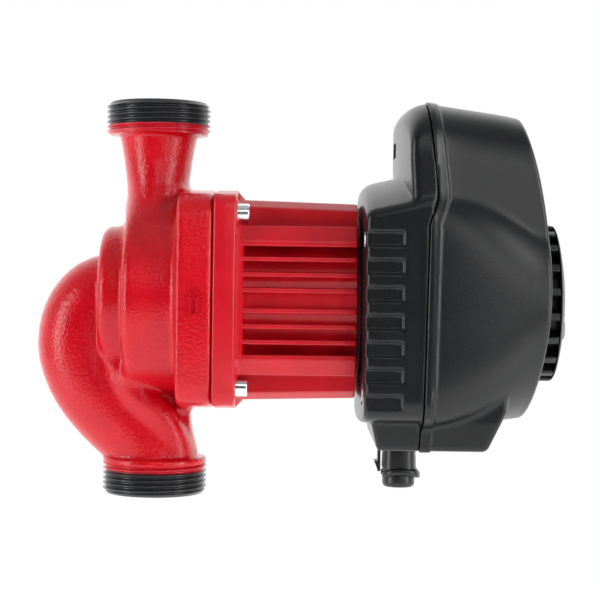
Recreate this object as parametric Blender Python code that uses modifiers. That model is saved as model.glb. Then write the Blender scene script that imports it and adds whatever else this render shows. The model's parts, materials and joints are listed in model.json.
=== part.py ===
"""Circulator pump: a cast in-line pump housing, a canned wet-rotor motor and a plastic control box.

The origin is the centre of the inlet port's face. +Z runs up the pipe to the outlet port, and +X runs along
the motor's axis to the control panel. Every size is in millimetres, and MM turns it into Blender's metres.
Heights inside the shapes count from the motor's axis, because FRAME, the parent of every piece, is on it.
"""

import math

import bmesh
import bpy
from mathutils import Matrix, Vector

MM = 0.001

# Pipe connection: G 1 1/2 threads, 180 mm from face to face.
PORT_LENGTH = 180.0
THREAD_RADIUS = 23.9
PORT_BORE_RADIUS = 15.0
PORT_HEIGHT = 16.5
PORT_CHAMFER = 1.2
THREAD_PITCH = 2.309
THREAD_DEPTH = 1.48
THREAD_RIDGES = 5
AXIS_HEIGHT = PORT_LENGTH / 2

# The square flange, whose sides bulge, and its screws.
FLANGE_HALF = 49.8
FLANGE_CORNER = 44.8
FLANGE_CORNER_RADIUS = 9.0
FLANGE_BACK = 12.0
FLANGE_FACE = 27.9
MOTOR_FLANGE_BACK = 28.2
MOTOR_FLANGE_FACE = 38.2
SCREW_OFFSET = 38.3
ARROW_X = 20.0
SCREW_RADIUS = 2.5
SCREW_HEAD_RADIUS = 4.1
SCREW_HEAD_HEIGHT = 5.0
WASHER_HEIGHT = 0.7

# Hydraulics.
CHAMBER_RADIUS = 36.5
VOLUTE_RADIUS = 46.0
CHANNEL_RADIUS = 41.0
STEP_RING_RADIUS = 31.5
IMPELLER_RADIUS = 33.0
BLADES = 6
EYE_RADIUS = 14.0

# Motor.
SHAFT_RADIUS = 4.6
BEARING_BORE = 4.7
CAN_RADIUS = 25.0
ROTOR_RADIUS = 23.2
STATOR_RADIUS = 38.4
MOTOR_BORE = 38.8
MOTOR_WALL_RADIUS = 41.6
MOTOR_HALF_FRONT = 44.5
MOTOR_HALF_REAR = 43.1
MOTOR_REAR = 91.4
FIN_OFFSETS = (4.5, 11.4, 18.2)
FIN_THICKNESS = 2.4
CORNER_RIB_INNER = 23.8
CORNER_RIB_FLAT = 26.2
NOTCH = 33.0
SLOTS = 6

# Control box.
WALL = 2.6
BOX_REAR = 92.9
SEAM = 121.0
SEAM_GAP = 0.4
BOX_HALF_WIDTH = 60.0
BOX_TOP = 86.0
BOX_BOTTOM = -64.0
BODY_BOTTOM = -55.0
BAND_WIDTH = 5.0
BAND_PROUD = 0.8
FRONT_CENTRE = 176.0
FRONT_RADIUS = 270.0
FRONT_DRUM_RADIUS = 52.0
UPPER_REAR = 109.0
VENT_RIBS = 20
DISC_RADIUS = 36.0
DISC_FRONT = 187.8
DISC_SAG = 5.2
BUTTON_RADIUS = 5.0
BUTTON_TRAVEL = 0.8
BUTTON_PROUD = 0.4
BUTTONS = {"button_up": (0, -13), "button_down": (-13.5, -11.5), "button_mode": (13.5, -11.5)}

TERMINAL_HALF = 43.5
TERMINAL_REAR = 100.0
TERMINAL_FRONT = 158.0
TERMINAL_SLANT = 8.0
POCKETS = 7
POCKET_TOP = 27.4
POCKET_PITCH = 11.75
VENT_SEAT = 173.2
VENT_SEAT_RADIUS = 37.4
VENT_OPENING = 31.5
BOSSES = ((51, 27), (-51, 27), (47, -40), (-47, -40))
SCREW_POCKET = 3.6

# Mains plug, which hangs below the box.
PLUG_X = 112.5
PLUG_RADIUS = 8.4
PLUG_BOTTOM = -86.0


def clear_scene():
    for obj in list(bpy.data.objects):
        bpy.data.objects.remove(obj)


def new_group(name):
    group = bpy.data.collections.new(name)
    bpy.context.scene.collection.children.link(group)
    return group


def finish(name, colour, roughness, metallic=0.0):
    """A Principled material."""
    made = bpy.data.materials.new(name)
    made.use_nodes = True
    shader = made.node_tree.nodes["Principled BSDF"]
    shader.inputs["Base Color"].default_value = (*colour, 1.0)
    shader.inputs["Roughness"].default_value = roughness
    shader.inputs["Metallic"].default_value = metallic
    return made


clear_scene()
PARTS = new_group("circulator_pump")
CUTTERS = new_group("cutters")
FRAME = bpy.data.objects.new("motor_axis", None)
FRAME.location = (0, 0, AXIS_HEIGHT * MM)
PARTS.objects.link(FRAME)

RED_CAST = finish("red_cast_iron", (0.62, 0.008, 0.022), 0.35)
RED_MOTOR = finish("red_motor", (0.55, 0.008, 0.022), 0.4)
STAINLESS = finish("stainless", (0.62, 0.62, 0.6), 0.3, 1.0)
ZINC = finish("zinc_steel", (0.75, 0.76, 0.78), 0.2, 1.0)
CERAMIC = finish("ceramic", (0.86, 0.84, 0.78), 0.4)
CARBON = finish("carbon", (0.03, 0.03, 0.032), 0.5)
COMPOSITE = finish("composite", (0.13, 0.11, 0.09), 0.5)
RUBBER = finish("rubber", (0.02, 0.02, 0.02), 0.8)
LAMINATION = finish("lamination", (0.25, 0.25, 0.27), 0.45, 0.9)
COPPER = finish("copper", (0.72, 0.33, 0.14), 0.35, 1.0)
BLACK = finish("black_plastic", (0.032, 0.034, 0.037), 0.5)
PANEL = finish("panel_plastic", (0.045, 0.047, 0.05), 0.35)
CLEAR = finish("clear_window", (0.35, 0.28, 0.06), 0.1)
BUTTON_GREY = finish("button_grey", (0.3, 0.31, 0.32), 0.5)
ALUMINIUM = finish("aluminium", (0.7, 0.71, 0.73), 0.4, 1.0)
BOARD = finish("board_green", (0.02, 0.16, 0.06), 0.5)
SLEEVE_BLUE = finish("capacitor_sleeve", (0.03, 0.05, 0.2), 0.4)
TERMINAL = finish("terminal_grey", (0.35, 0.36, 0.38), 0.5)

# Columns are where an outline's own x, y and thickness point.
OUTLINE_TO_WORLD = {
    "X": Matrix(((0, 0, 1), (1, 0, 0), (0, 1, 0))),
    "Y": Matrix(((1, 0, 0), (0, 0, -1), (0, 1, 0))),
    "Z": Matrix.Identity(3),
}
TURN_TO_WORLD = {"X": Matrix.Rotation(math.pi / 2, 3, "Y"), "Z": Matrix.Identity(3)}


def placed(matrix, at):
    return Matrix.Translation(Vector(at) * MM) @ matrix.to_4x4()


def add(name, data, look=None, helper=False):
    """An object on the motor's axis: a piece with its finish, or a helper that is not rendered."""
    obj = bpy.data.objects.new(name, data)
    (CUTTERS if helper else PARTS).objects.link(obj)
    obj.parent = FRAME
    if helper:
        obj.hide_render = True
        obj.display_type = "WIRE"
    elif look:
        data.materials.append(look)
    return obj


def evaluated_mesh(obj):
    bpy.context.view_layer.update()
    graph = bpy.context.evaluated_depsgraph_get()
    return bpy.data.meshes.new_from_object(obj.evaluated_get(graph))


def smooth(obj, degrees=35):
    obj.data.shade_smooth()
    obj.data.set_sharp_from_angle(angle=math.radians(degrees))


def boolean(obj, other, operation):
    modifier = obj.modifiers.new(other.name, "BOOLEAN")
    modifier.operation = operation
    modifier.solver = "EXACT"
    modifier.object = other


def cut(obj, *cutters):
    for cutter in cutters:
        boolean(obj, cutter, "DIFFERENCE")


def join(obj, *others):
    for other in others:
        boolean(obj, other, "UNION")


def turned(name, profile, look=None, at=(0, 0, 0), along="X", steps=24, ring=False, helper=False):
    """A turned shape: (radius, height) points down its outer side. A ring's profile is a loop."""
    mesh = bpy.data.meshes.new(name)
    edges = [(i, i + 1) for i in range(len(profile) - 1)]
    if ring:
        edges.append((len(profile) - 1, 0))
    mesh.from_pydata([(r * MM, 0, h * MM) for r, h in profile], edges, [])
    obj = add(name, mesh, look, helper)
    obj.matrix_basis = placed(TURN_TO_WORLD[along], at)
    screw = obj.modifiers.new("turn", "SCREW")
    screw.steps = screw.render_steps = steps
    screw.use_merge_vertices = True
    screw.merge_threshold = 1e-5
    screw.use_smooth_shade = True
    return obj


def rod(name, radius, low, high, look=None, **where):
    return turned(name, [(0, high), (radius, high), (radius, low), (0, low)], look, **where)


def bored(name, outer, inner, low, high, look=None, **where):
    loop = [(inner, high), (outer, high), (outer, low), (inner, low)]
    return turned(name, loop, look, ring=True, **where)


def plate(name, outlines, low, high, look=None, along="X", at=(0, 0, 0), helper=False):
    """A flat piece cut to its outline, with any further outlines as holes, from low to high along an axis."""
    curve = bpy.data.curves.new(name, "CURVE")
    curve.dimensions = "2D"
    curve.fill_mode = "BOTH"
    curve.extrude = (high - low) / 2 * MM
    for outline in outlines:
        spline = curve.splines.new("POLY")
        spline.points.add(len(outline) - 1)
        for point, (a, b) in zip(spline.points, outline):
            point.co = (a * MM, b * MM, 0, 1)
        spline.use_cyclic_u = True
    flat = bpy.data.objects.new(name, curve)
    CUTTERS.objects.link(flat)
    mesh = evaluated_mesh(flat)
    bpy.data.objects.remove(flat)
    weld(mesh)
    obj = add(name, mesh, look, helper)
    turn = OUTLINE_TO_WORLD[along]
    middle = turn @ Vector((0, 0, (high + low) / 2))
    obj.matrix_basis = placed(turn, Vector(at) + middle)
    return obj


def weld(mesh):
    shape = bmesh.new()
    shape.from_mesh(mesh)
    bmesh.ops.remove_doubles(shape, verts=shape.verts, dist=1e-6)
    bmesh.ops.recalc_face_normals(shape, faces=shape.faces)
    shape.to_mesh(mesh)
    shape.free()


def box(name, size, at, look=None, bevel=0.0, helper=False):
    mesh = bpy.data.meshes.new(name)
    shape = bmesh.new()
    bmesh.ops.create_cube(shape, size=MM)
    bmesh.ops.scale(shape, vec=size, verts=shape.verts)
    shape.to_mesh(mesh)
    shape.free()
    obj = add(name, mesh, look, helper)
    obj.location = Vector(at) * MM
    if bevel:
        edge = obj.modifiers.new("edges", "BEVEL")
        edge.width = bevel * MM
        edge.segments = 1
    return obj


def loft(name, rings, start, end, look=None, helper=False):
    """A skin over rings of equally many points, closed by a fan to the point start and one to end."""
    shape = bmesh.new()
    loops = [[shape.verts.new(Vector(p) * MM) for p in ring] for ring in rings]
    count = len(rings[0])
    for first, second in zip(loops, loops[1:]):
        for i in range(count):
            j = (i + 1) % count
            shape.faces.new((first[i], first[j], second[j], second[i]))
    for loop, centre in ((loops[0], start), (loops[-1], end)):
        tip = shape.verts.new(Vector(centre) * MM)
        for i in range(count):
            shape.faces.new((loop[i], loop[(i + 1) % count], tip))
    bmesh.ops.recalc_face_normals(shape, faces=shape.faces)
    mesh = bpy.data.meshes.new(name)
    shape.to_mesh(mesh)
    shape.free()
    return add(name, mesh, look, helper)


def merged(name, sources, look=None, helper=False):
    """One mesh that holds a copy of each source, which is then removed."""
    shape = bmesh.new()
    for source in sources:
        mesh = evaluated_mesh(source)
        mesh.transform(source.matrix_basis)
        shape.from_mesh(mesh)
        bpy.data.objects.remove(source)
    mesh = bpy.data.meshes.new(name)
    shape.to_mesh(mesh)
    shape.free()
    return add(name, mesh, look, helper)


def rounded(corners, segments=4):
    """The outline through corners (a, b, radius), each rounded by an arc."""
    outline = []
    for i, (a, b, radius) in enumerate(corners):
        here = Vector((a, b))
        back = (Vector(corners[i - 1][:2]) - here).normalized()
        ahead = (Vector(corners[(i + 1) % len(corners)][:2]) - here).normalized()
        half_angle = back.angle(ahead) / 2
        centre = here + (back + ahead).normalized() * radius / math.sin(half_angle)
        reach = radius / math.tan(half_angle)
        from_centre = here + back * reach - centre
        sweep = math.pi - 2 * half_angle
        turn = -1 if back.cross(ahead) > 0 else 1
        for step in range(segments + 1):
            spun = Matrix.Rotation(turn * sweep * step / segments, 2) @ from_centre
            outline.append(tuple(centre + spun))
    return outline


def bezier_line(points, per_span=4):
    """Points along a smooth line through the given ones."""
    line = []
    for i in range(len(points) - 1):
        before = Vector(points[max(i - 1, 0)])
        start, end = Vector(points[i]), Vector(points[i + 1])
        after = Vector(points[min(i + 2, len(points) - 1)])
        for step in range(per_span):
            t = step / per_span
            line.append(
                0.5 * (2 * start + (end - before) * t
                       + (2 * before - 5 * start + 4 * end - after) * t ** 2
                       + (3 * start - before - 3 * end + after) * t ** 3)
            )
    return line + [Vector(points[-1])]


def sphere_sweep(name, stations, mirrored=False):
    """Overlapping spheres along a smooth line. A station is (x, y, z, radius)."""
    shape = bmesh.new()
    for x, y, z, radius in bezier_line(stations):
        for side in (1, -1) if mirrored else (1,):
            made = bmesh.ops.create_uvsphere(shape, u_segments=20, v_segments=12, radius=radius * MM)
            bmesh.ops.translate(shape, vec=Vector((x, side * y, z)) * MM, verts=made["verts"])
    mesh = bpy.data.meshes.new(name)
    shape.to_mesh(mesh)
    shape.free()
    return add(name, mesh, helper=True)


def cast(obj, voxel, passes, keep):
    """Fuses an object's overlapping bodies into one skin with soft fillets, and thins its faces."""
    fuse = obj.modifiers.new("fuse", "REMESH")
    fuse.mode = "VOXEL"
    fuse.voxel_size = voxel * MM
    soften = obj.modifiers.new("soften", "SMOOTH")
    soften.iterations = passes
    thin = obj.modifiers.new("thin", "DECIMATE")
    thin.ratio = keep


def arc(radius, start_degrees, end_degrees, steps, centre=(0, 0)):
    spread = [start_degrees + (end_degrees - start_degrees) * i / steps for i in range(steps + 1)]
    return [
        (centre[0] + radius * math.cos(math.radians(a)), centre[1] + radius * math.sin(math.radians(a)))
        for a in spread
    ]


def circle(radius, centre=(0, 0), steps=24):
    return arc(radius, 0, 360, steps, centre)[:-1]


def flange_outline(inset=0.0):
    """A square whose sides bulge out to FLANGE_HALF, with rounded corners."""
    quarter = []
    bulge = FLANGE_HALF - FLANGE_CORNER
    reach = FLANGE_CORNER - FLANGE_CORNER_RADIUS
    for i in range(-3, 4):
        along = reach * i / 3
        quarter.append((FLANGE_HALF - inset - bulge * (along / FLANGE_CORNER) ** 2, along))
    for x, y in arc(FLANGE_CORNER_RADIUS, 15, 75, 2, (reach - inset, reach - inset)):
        quarter.append((x, y))
    outline = []
    for turn in range(4):
        spin = Matrix.Rotation(turn * math.pi / 2, 2)
        outline += [tuple(spin @ Vector(p)) for p in quarter]
    return outline


def four_corners(offset):
    return [(y * offset, z * offset) for y in (-1, 1) for z in (1, -1)]


# Pump housing

INLET_LINE = (
    (0, 0, -69, 20), (-3, 0, -66, 20), (-9, 0, -60, 20), (-19, 0, -50, 20.5), (-28, 0, -38, 21),
    (-33, 0, -25, 21.3), (-32.5, 0, -14, 21.3), (-29, 0, -6, 21), (-23, 0, -1, 20.6), (-12, 0, 0, 20.4),
)
# A second pair of ribs, nearer the volute, runs beside the inlet bend.
RIB_LINE = (
    (-22, 13, 9, 9), (-22, 14, -11, 10), (-17.5, 15, -26, 11.5), (-11, 15, -37, 12.5),
    (-1, 13, -46, 13), (4.5, 10, -58, 11), (5, 7, -70, 10),
)
INLET_PASSAGE = (
    (0, 0, -76, 14.5), (-3, 0, -68, 14.4), (-10, 0, -58.5, 14.4), (-19, 0, -48.5, 14.6), (-27, 0, -37, 15),
    (-32, 0, -25, 15.2), (-31.5, 0, -14, 15), (-28, 0, -6, 14.8), (-22, 0, -1, 14.4), (-17, 0, 0, 13.6),
)


def ellipse_ring(height, half_x, half_y, steps=28):
    return [
        (half_x * math.cos(2 * math.pi * i / steps), half_y * math.sin(2 * math.pi * i / steps), height)
        for i in range(steps)
    ]


def make_port(name, face, inwards):
    """A threaded port's plain blank, from its face inwards (+1 is up), with the thread as parallel ridges."""
    root = THREAD_RADIUS - THREAD_DEPTH
    outer = [(0, 0), (root - 0.4, 0), (root, PORT_CHAMFER)]
    for i in range(THREAD_RIDGES):
        middle = PORT_CHAMFER + THREAD_PITCH * (i + 0.75)
        outer += [(THREAD_RADIUS, middle - 0.3), (THREAD_RADIUS, middle + 0.3),
                  (root, middle + THREAD_PITCH / 2)]
    outer += [(root, PORT_HEIGHT), (0, PORT_HEIGHT)]
    profile = [(radius, face + inwards * depth) for radius, depth in outer]
    return turned(name, profile[::-1] if inwards > 0 else profile, along="Z", steps=28, helper=True)


def make_flow_arrow():
    """The raised outline arrow on the flange's side, which points along the flow."""
    def arrow(shrink):
        head, shaft = 3.1 - 1.6 * shrink, 1.5 - 0.6 * shrink
        low, neck, tip = -6 + 0.6 * shrink, 1.4 + 0.6 * shrink, 6
        corners = [(shaft, low), (shaft, neck), (head, neck), (0, tip - 1.2 * shrink)]
        return corners + [(-a, b) for a, b in corners[-2::-1]]

    return plate("flow_arrow", [arrow(0), arrow(1)], FLANGE_HALF - 1, FLANGE_HALF + 0.4, along="Y",
                 at=(ARROW_X, 0, 0), helper=True)


def make_pump_housing():
    volute = turned(
        "volute",
        [(0, 14), (43, 14), (45.2, 10), (VOLUTE_RADIUS, 7), (VOLUTE_RADIUS, -5), (44, -8.5), (38, -11),
         (33, -13), (STEP_RING_RADIUS, -15), (STEP_RING_RADIUS, -21), (29, -24), (0, -24)],
        steps=48, helper=True,
    )
    neck = loft(
        "neck",
        [ellipse_ring(30, 13.5, 26), ellipse_ring(42, 13.8, 23), ellipse_ring(52, 14.2, 19.5),
         ellipse_ring(63, 15.6, 17.5), ellipse_ring(76, 17.4, 17.4)],
        (0, 0, 30), (0, 0, 76), helper=True,
    )
    inlet = sphere_sweep("inlet", INLET_LINE)
    ribs = sphere_sweep("ribs", RIB_LINE, mirrored=True)
    housing = merged("pump_housing", [volute, neck, inlet, ribs], RED_CAST)
    cast(housing, voxel=2.0, passes=8, keep=0.045)
    flange = plate("housing_flange", [flange_outline()], FLANGE_BACK, FLANGE_FACE, helper=True)
    outlet_port = make_port("outlet_port", AXIS_HEIGHT, -1)
    inlet_port = make_port("inlet_port", -AXIS_HEIGHT, 1)
    join(housing, flange, outlet_port, inlet_port, make_flow_arrow())

    passage = sphere_sweep("inlet_passage", INLET_PASSAGE)
    cast(passage, voxel=2.0, passes=4, keep=0.08)
    inlet_bore = rod("inlet_bore", PORT_BORE_RADIUS, -AXIS_HEIGHT - 1, -72, along="Z", helper=True)
    outlet_bore = loft(
        "outlet_bore",
        [ellipse_ring(33, 8.5, 14), ellipse_ring(52, 9.5, 13.5),
         ellipse_ring(70, PORT_BORE_RADIUS, PORT_BORE_RADIUS),
         ellipse_ring(AXIS_HEIGHT + 1, PORT_BORE_RADIUS, PORT_BORE_RADIUS)],
        (0, 0, 33), (0, 0, AXIS_HEIGHT + 1), helper=True,
    )
    chamber = turned(
        "chamber",
        [(0, FLANGE_FACE + 1), (CHAMBER_RADIUS, FLANGE_FACE + 1), (CHAMBER_RADIUS, 8),
         (CHANNEL_RADIUS - 1.5, 7),
         (CHANNEL_RADIUS, 4), (CHANNEL_RADIUS, -3), (CHANNEL_RADIUS - 2, -6), (34, -9.6), (18.4, -9.6),
         (18.4, -15.6), (13, -15.6), (13, -18), (0, -18)],
        steps=36, helper=True,
    )
    cut(housing, chamber, passage, inlet_bore, outlet_bore)
    for number, (y, z) in enumerate(four_corners(SCREW_OFFSET), 1):
        hole = rod(f"tapped_hole_{number}", SCREW_RADIUS + 0.3, 14.5, FLANGE_FACE + 1, at=(0, y, z), steps=16,
                   helper=True)
        cut(housing, hole)
    return housing


# Hydraulic inserts and impeller


def blade_outline(turn_degrees):
    """One backward-curved blade, as a strip of even thickness about a spiral."""
    centre_line = []
    for i in range(6):
        share = i / 5
        radius = EYE_RADIUS + 1 + (IMPELLER_RADIUS - 1.5 - EYE_RADIUS) * share
        angle = math.radians(turn_degrees + 62 * share)
        centre_line.append(Vector((radius * math.cos(angle), radius * math.sin(angle))))
    left, right = [], []
    for i, point in enumerate(centre_line):
        ahead = centre_line[min(i + 1, 5)] - centre_line[max(i - 1, 0)]
        across = Vector((-ahead.y, ahead.x)).normalized() * 0.9
        left.append(tuple(point + across))
        right.append(tuple(point - across))
    return left + right[::-1]


def make_impeller():
    hub = turned(
        "impeller_hub",
        [(SHAFT_RADIUS + 0.35, 8), (9, 8), (9, 5.4), (IMPELLER_RADIUS, 5.4), (IMPELLER_RADIUS, 3.6),
         (14, 3.2),
         (9.5, 0), (8, -4), (SHAFT_RADIUS + 0.35, -4)],
        COMPOSITE, ring=True, steps=28,
    )
    blades = merged(
        "blades",
        [plate(f"blade_{i}", [blade_outline(i * 360 / BLADES)], -6.6, 4.2,
               helper=True) for i in range(BLADES)],
        helper=True,
    )
    join(hub, blades)
    turned(
        "impeller_shroud",
        [(EYE_RADIUS - 1.4, -8.6), (EYE_RADIUS + 3, -6.9), (IMPELLER_RADIUS, -6.9), (IMPELLER_RADIUS, -8.6),
         (EYE_RADIUS + 1.5, -9.2), (EYE_RADIUS, -10.4), (EYE_RADIUS, -15.2), (EYE_RADIUS - 1.4, -15.2)],
        COMPOSITE, ring=True, steps=28,
    )
    turned("impeller_nut", [(0, -7.3), (6.6, -7.3), (6.6, -10), (4, -12), (0, -12.6)], STAINLESS, steps=12)


def make_hydraulic_inserts():
    bored("neck_ring", 18.1, EYE_RADIUS + 0.4, -15.3, -10.9, STAINLESS)
    turned(
        "bearing_plate",
        [(8.9, 21), (11, 21), (11, 11.6), (29.4, 11.6), (29.4, 29.4), (43, 29.4), (43, 28.2), (30.8, 28.2),
         (30.8, 10), (8.9, 10)],
        STAINLESS, ring=True, steps=32,
    )
    bored("housing_gasket", 36.2, 31.2, 25.6, 27.9, RUBBER, steps=32)


# Motor


def make_rotor():
    turned(
        "shaft",
        [(0, 86), (SHAFT_RADIUS - 0.6, 86), (SHAFT_RADIUS, 85.4), (SHAFT_RADIUS, -6.4),
         (SHAFT_RADIUS - 0.6, -7),
         (0, -7)],
        CERAMIC, steps=24,
    )
    bored("thrust_bearing", 8.2, BEARING_BORE, 24, 28, CARBON, steps=28)
    turned(
        "rotor_core",
        [(SHAFT_RADIUS + 0.35, 76.6), (ROTOR_RADIUS - 0.7, 76.6), (ROTOR_RADIUS - 0.7, 34.4),
         (SHAFT_RADIUS + 0.35, 34.4)],
        LAMINATION, ring=True, steps=28,
    )
    # The cladding is one sleeve with an end wall. The other end wall is its separate cap.
    turned(
        "rotor_sleeve",
        [(SHAFT_RADIUS + 0.35, 77.4), (ROTOR_RADIUS + 0.2, 77.4), (ROTOR_RADIUS + 0.2, 33.6),
         (ROTOR_RADIUS - 0.4, 33.6), (ROTOR_RADIUS - 0.4, 76.9), (SHAFT_RADIUS + 0.35, 76.9)],
        STAINLESS, ring=True, steps=28,
    )
    bored("rotor_cap", ROTOR_RADIUS - 0.8, SHAFT_RADIUS + 0.35, 33.4, 34.1, STAINLESS)


def make_bearings_and_can():
    bored("front_bearing", 8.6, BEARING_BORE, 12, 20.6, CERAMIC, steps=28)
    bored("rear_bearing", 8.0, BEARING_BORE, 79, 85, CERAMIC, steps=28)
    turned(
        "rotor_can",
        [(0, 87.6), (8.9, 87.6), (8.9, 79.6), (CAN_RADIUS, 79.6), (CAN_RADIUS, 30.8), (41, 30.8), (41, 29.8),
         (CAN_RADIUS - 0.7, 29.8), (CAN_RADIUS - 0.7, 78.8), (8.3, 78.8), (8.3, 86.9), (0, 86.9)],
        STAINLESS, steps=32,
    )
    bored("can_seal", 42.8, 41.3, 29.7, 30.8, RUBBER, steps=32)


def make_stator():
    core = bored("stator_core", STATOR_RADIUS, CAN_RADIUS + 0.4, 38, 72, LAMINATION, steps=32)
    bars = []
    for i in range(SLOTS):
        angle = 2 * math.pi * i / SLOTS
        radial = (0, 31.5 * math.cos(angle), 31.5 * math.sin(angle))
        slot = box(f"slot_{i}", (60, 8.6, 7.6), (55, *radial[1:]), helper=True)
        slot.rotation_euler = (angle, 0, 0)
        bar = box(f"bar_{i}", (38, 8, 7), (55, *radial[1:]), helper=True)
        bar.rotation_euler = (angle, 0, 0)
        bars.append(bar)
        cut(core, slot)
    overhang = [(27.5, 0), (29, 2), (36, 2), (37.3, 0), (37.3, -3), (36, -5), (29, -5), (27.5, -3)]
    winding = turned("stator_winding", [(r, h + 36) for r, h in overhang], COPPER, ring=True)
    rear = turned("rear_overhang", [(r, h + 77.3) for r, h in overhang], ring=True, helper=True)
    join(winding, merged("slot_bars", bars, helper=True), rear)


def motor_outline(half):
    """The finned section: fins stand on a round wall, and each corner is notched for a screw's head."""
    side = []
    for offset in FIN_OFFSETS:
        low, high = offset - FIN_THICKNESS / 2, offset + FIN_THICKNESS / 2
        side.append((math.sqrt(MOTOR_WALL_RADIUS ** 2 - low ** 2), low))
        side += [(half, low + 0.2), (half, high - 0.2)]
        side.append((math.sqrt(MOTOR_WALL_RADIUS ** 2 - high ** 2), high))
    side.append((math.sqrt(MOTOR_WALL_RADIUS ** 2 - CORNER_RIB_INNER ** 2), CORNER_RIB_INNER))
    side += [(half, CORNER_RIB_INNER + 0.2), (half, CORNER_RIB_FLAT), (half - 3.2, NOTCH), (NOTCH, NOTCH)]
    lower = [(a, -b) for a, b in side[:-1]][::-1]
    outline = []
    for turn in range(4):
        spin = Matrix.Rotation(turn * math.pi / 2, 2)
        outline += [tuple(spin @ Vector(p)) for p in lower + side]
    return outline


def make_motor_housing():
    body = plate("motor_housing", [motor_outline(MOTOR_HALF_FRONT)], MOTOR_FLANGE_FACE - 4, MOTOR_REAR,
                 RED_MOTOR)
    for vertex in body.data.vertices:
        if vertex.co.z > 0:
            vertex.co.xy *= MOTOR_HALF_REAR / MOTOR_HALF_FRONT
    flange = plate("motor_flange", [flange_outline()], MOTOR_FLANGE_BACK, MOTOR_FLANGE_FACE, helper=True)
    shoulder_rings = []
    for x, half in ((MOTOR_FLANGE_FACE - 1, 47.3), (MOTOR_FLANGE_FACE + 3.4, 43.6)):
        outline = []
        for turn in range(4):
            spin = Matrix.Rotation(turn * math.pi / 2, 2)
            outline += [tuple(spin @ Vector(p)) for p in ((half, -28), (half, 28), (34, 34))]
        shoulder_rings.append([(x, y, z) for y, z in outline])
    shoulder = loft("shoulder", shoulder_rings, (shoulder_rings[0][0][0], 0, 0),
                    (shoulder_rings[1][0][0], 0, 0),
                    helper=True)
    join(body, flange, shoulder)
    recess = rod("plate_recess", 43.4, MOTOR_FLANGE_BACK - 1, 31.1, steps=32, helper=True)
    bore = rod("stator_bore", MOTOR_BORE, 30, 88, steps=32, helper=True)
    wire_hole = rod("wire_hole", 6, 80, MOTOR_REAR + 1, at=(0, 0, 26), steps=16, helper=True)
    cut(body, recess, bore, wire_hole)
    for number, (y, z) in enumerate(four_corners(SCREW_OFFSET), 1):
        hole = rod(f"flange_hole_{number}", SCREW_RADIUS + 0.3, 26, 40, at=(0, y, z), steps=16, helper=True)
        cut(body, hole)
    for number, (y, z) in enumerate(four_corners(20), 1):
        hole = rod(f"box_screw_hole_{number}", 2.1, 86, MOTOR_REAR + 1, at=(0, y, z), steps=12, helper=True)
        cut(body, hole)
    bored("motor_neck_seal", 36, 31, MOTOR_REAR + 0.3, BOX_REAR - 0.3, RUBBER)


def socket_screw(name, at, head_radius, head_height, shank_radius, shank_length, washer=0.0, look=ZINC):
    """A socket head screw whose head sits on the plane x = 0 of its own place and points to +X."""
    profile = [(0, head_height + washer), (head_radius - 0.4, head_height + washer),
               (head_radius, head_height + washer - 0.5)]
    if washer:
        profile += [(head_radius, washer), (head_radius + 0.6, washer), (head_radius + 0.6, 0.3)]
    else:
        profile += [(head_radius, 0.3)]
    profile += [(shank_radius, 0.3), (shank_radius, -shank_length), (0, -shank_length)]
    screw = turned(name, profile, look, at=at, steps=16)
    socket = rod(f"{name}_socket", head_radius * 0.55, head_height + washer - head_height * 0.55,
                 head_height + washer + 1, at=at, steps=6, helper=True)
    cut(screw, socket)
    return screw


# Control box


def seam_x(z):
    """The parting line: it leans forward up the upper half and steps back at the shoulder."""
    if z < 34:
        return SEAM
    if z < 46:
        return SEAM + 5.0 * (z - 34) / 12
    return SEAM + 5.0 - 7.0 * (z - 46) / (BOX_TOP - 46)


def front_x(z):
    return FRONT_CENTRE - z * z / (2 * FRONT_RADIUS)


def drum_outline(share, inset):
    """The lower body: square with flat sides at the seam (share 0), round at the front (share 1)."""
    ease = share ** 1.5
    half = BOX_HALF_WIDTH + (FRONT_DRUM_RADIUS - BOX_HALF_WIDTH) * ease - inset
    top = 47 + (FRONT_DRUM_RADIUS - 47) * ease - inset
    bottom = BODY_BOTTOM + (-FRONT_DRUM_RADIUS - BODY_BOTTOM) * ease + inset
    side_top = 40 + (FRONT_DRUM_RADIUS - 40) * ease - inset
    side_bottom = -50 + (-FRONT_DRUM_RADIUS + 50) * ease + inset
    radius = 9 + (half - 16) * ease
    corners = [(half, side_bottom, radius), (half, side_top, radius), (0, top, 6), (-half, side_top, radius),
               (-half, side_bottom, radius), (0, bottom, 6)]
    return rounded(corners, segments=3)


def upper_outline(share, inset):
    """The upper block, which narrows to the front."""
    ease = share ** 1.6
    half = 58 - 15 * ease - inset
    top = BOX_TOP - 5 * share - inset
    corners = [(half, 6, 3), (half + 0.01, top - 2, 15), (0, top + 0.5, 40), (-half - 0.01, top - 2, 15),
               (-half, 6, 3)]
    return rounded(corners, segments=3)


def shell_body(name, outline, low_x, high_x, shares, inset=0.0, before=0.0, after=0.0):
    """A loft of outlines between two faces whose x follows the height, run on before or after them."""
    rings = []
    for share in shares:
        ring = []
        for y, z in outline(share, inset):
            low, high = low_x(z), high_x(z)
            if share == 1 and not after:
                high -= inset
            if share == 0 and not before:
                low += inset
            ring.append((low + (high - low) * share, y, z))
        rings.append(ring)
    if before:
        rings.insert(0, [(x - before, y, z) for x, y, z in rings[0]])
    if after:
        rings.append([(x + after, y, z) for x, y, z in rings[-1]])
    centres = [Vector((0, 0, 0)), Vector((0, 0, 0))]
    for centre, ring in zip(centres, (rings[0], rings[-1])):
        for point in ring:
            centre += Vector(point) / len(ring)
    return loft(name, rings, centres[0], centres[1], helper=True)


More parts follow.
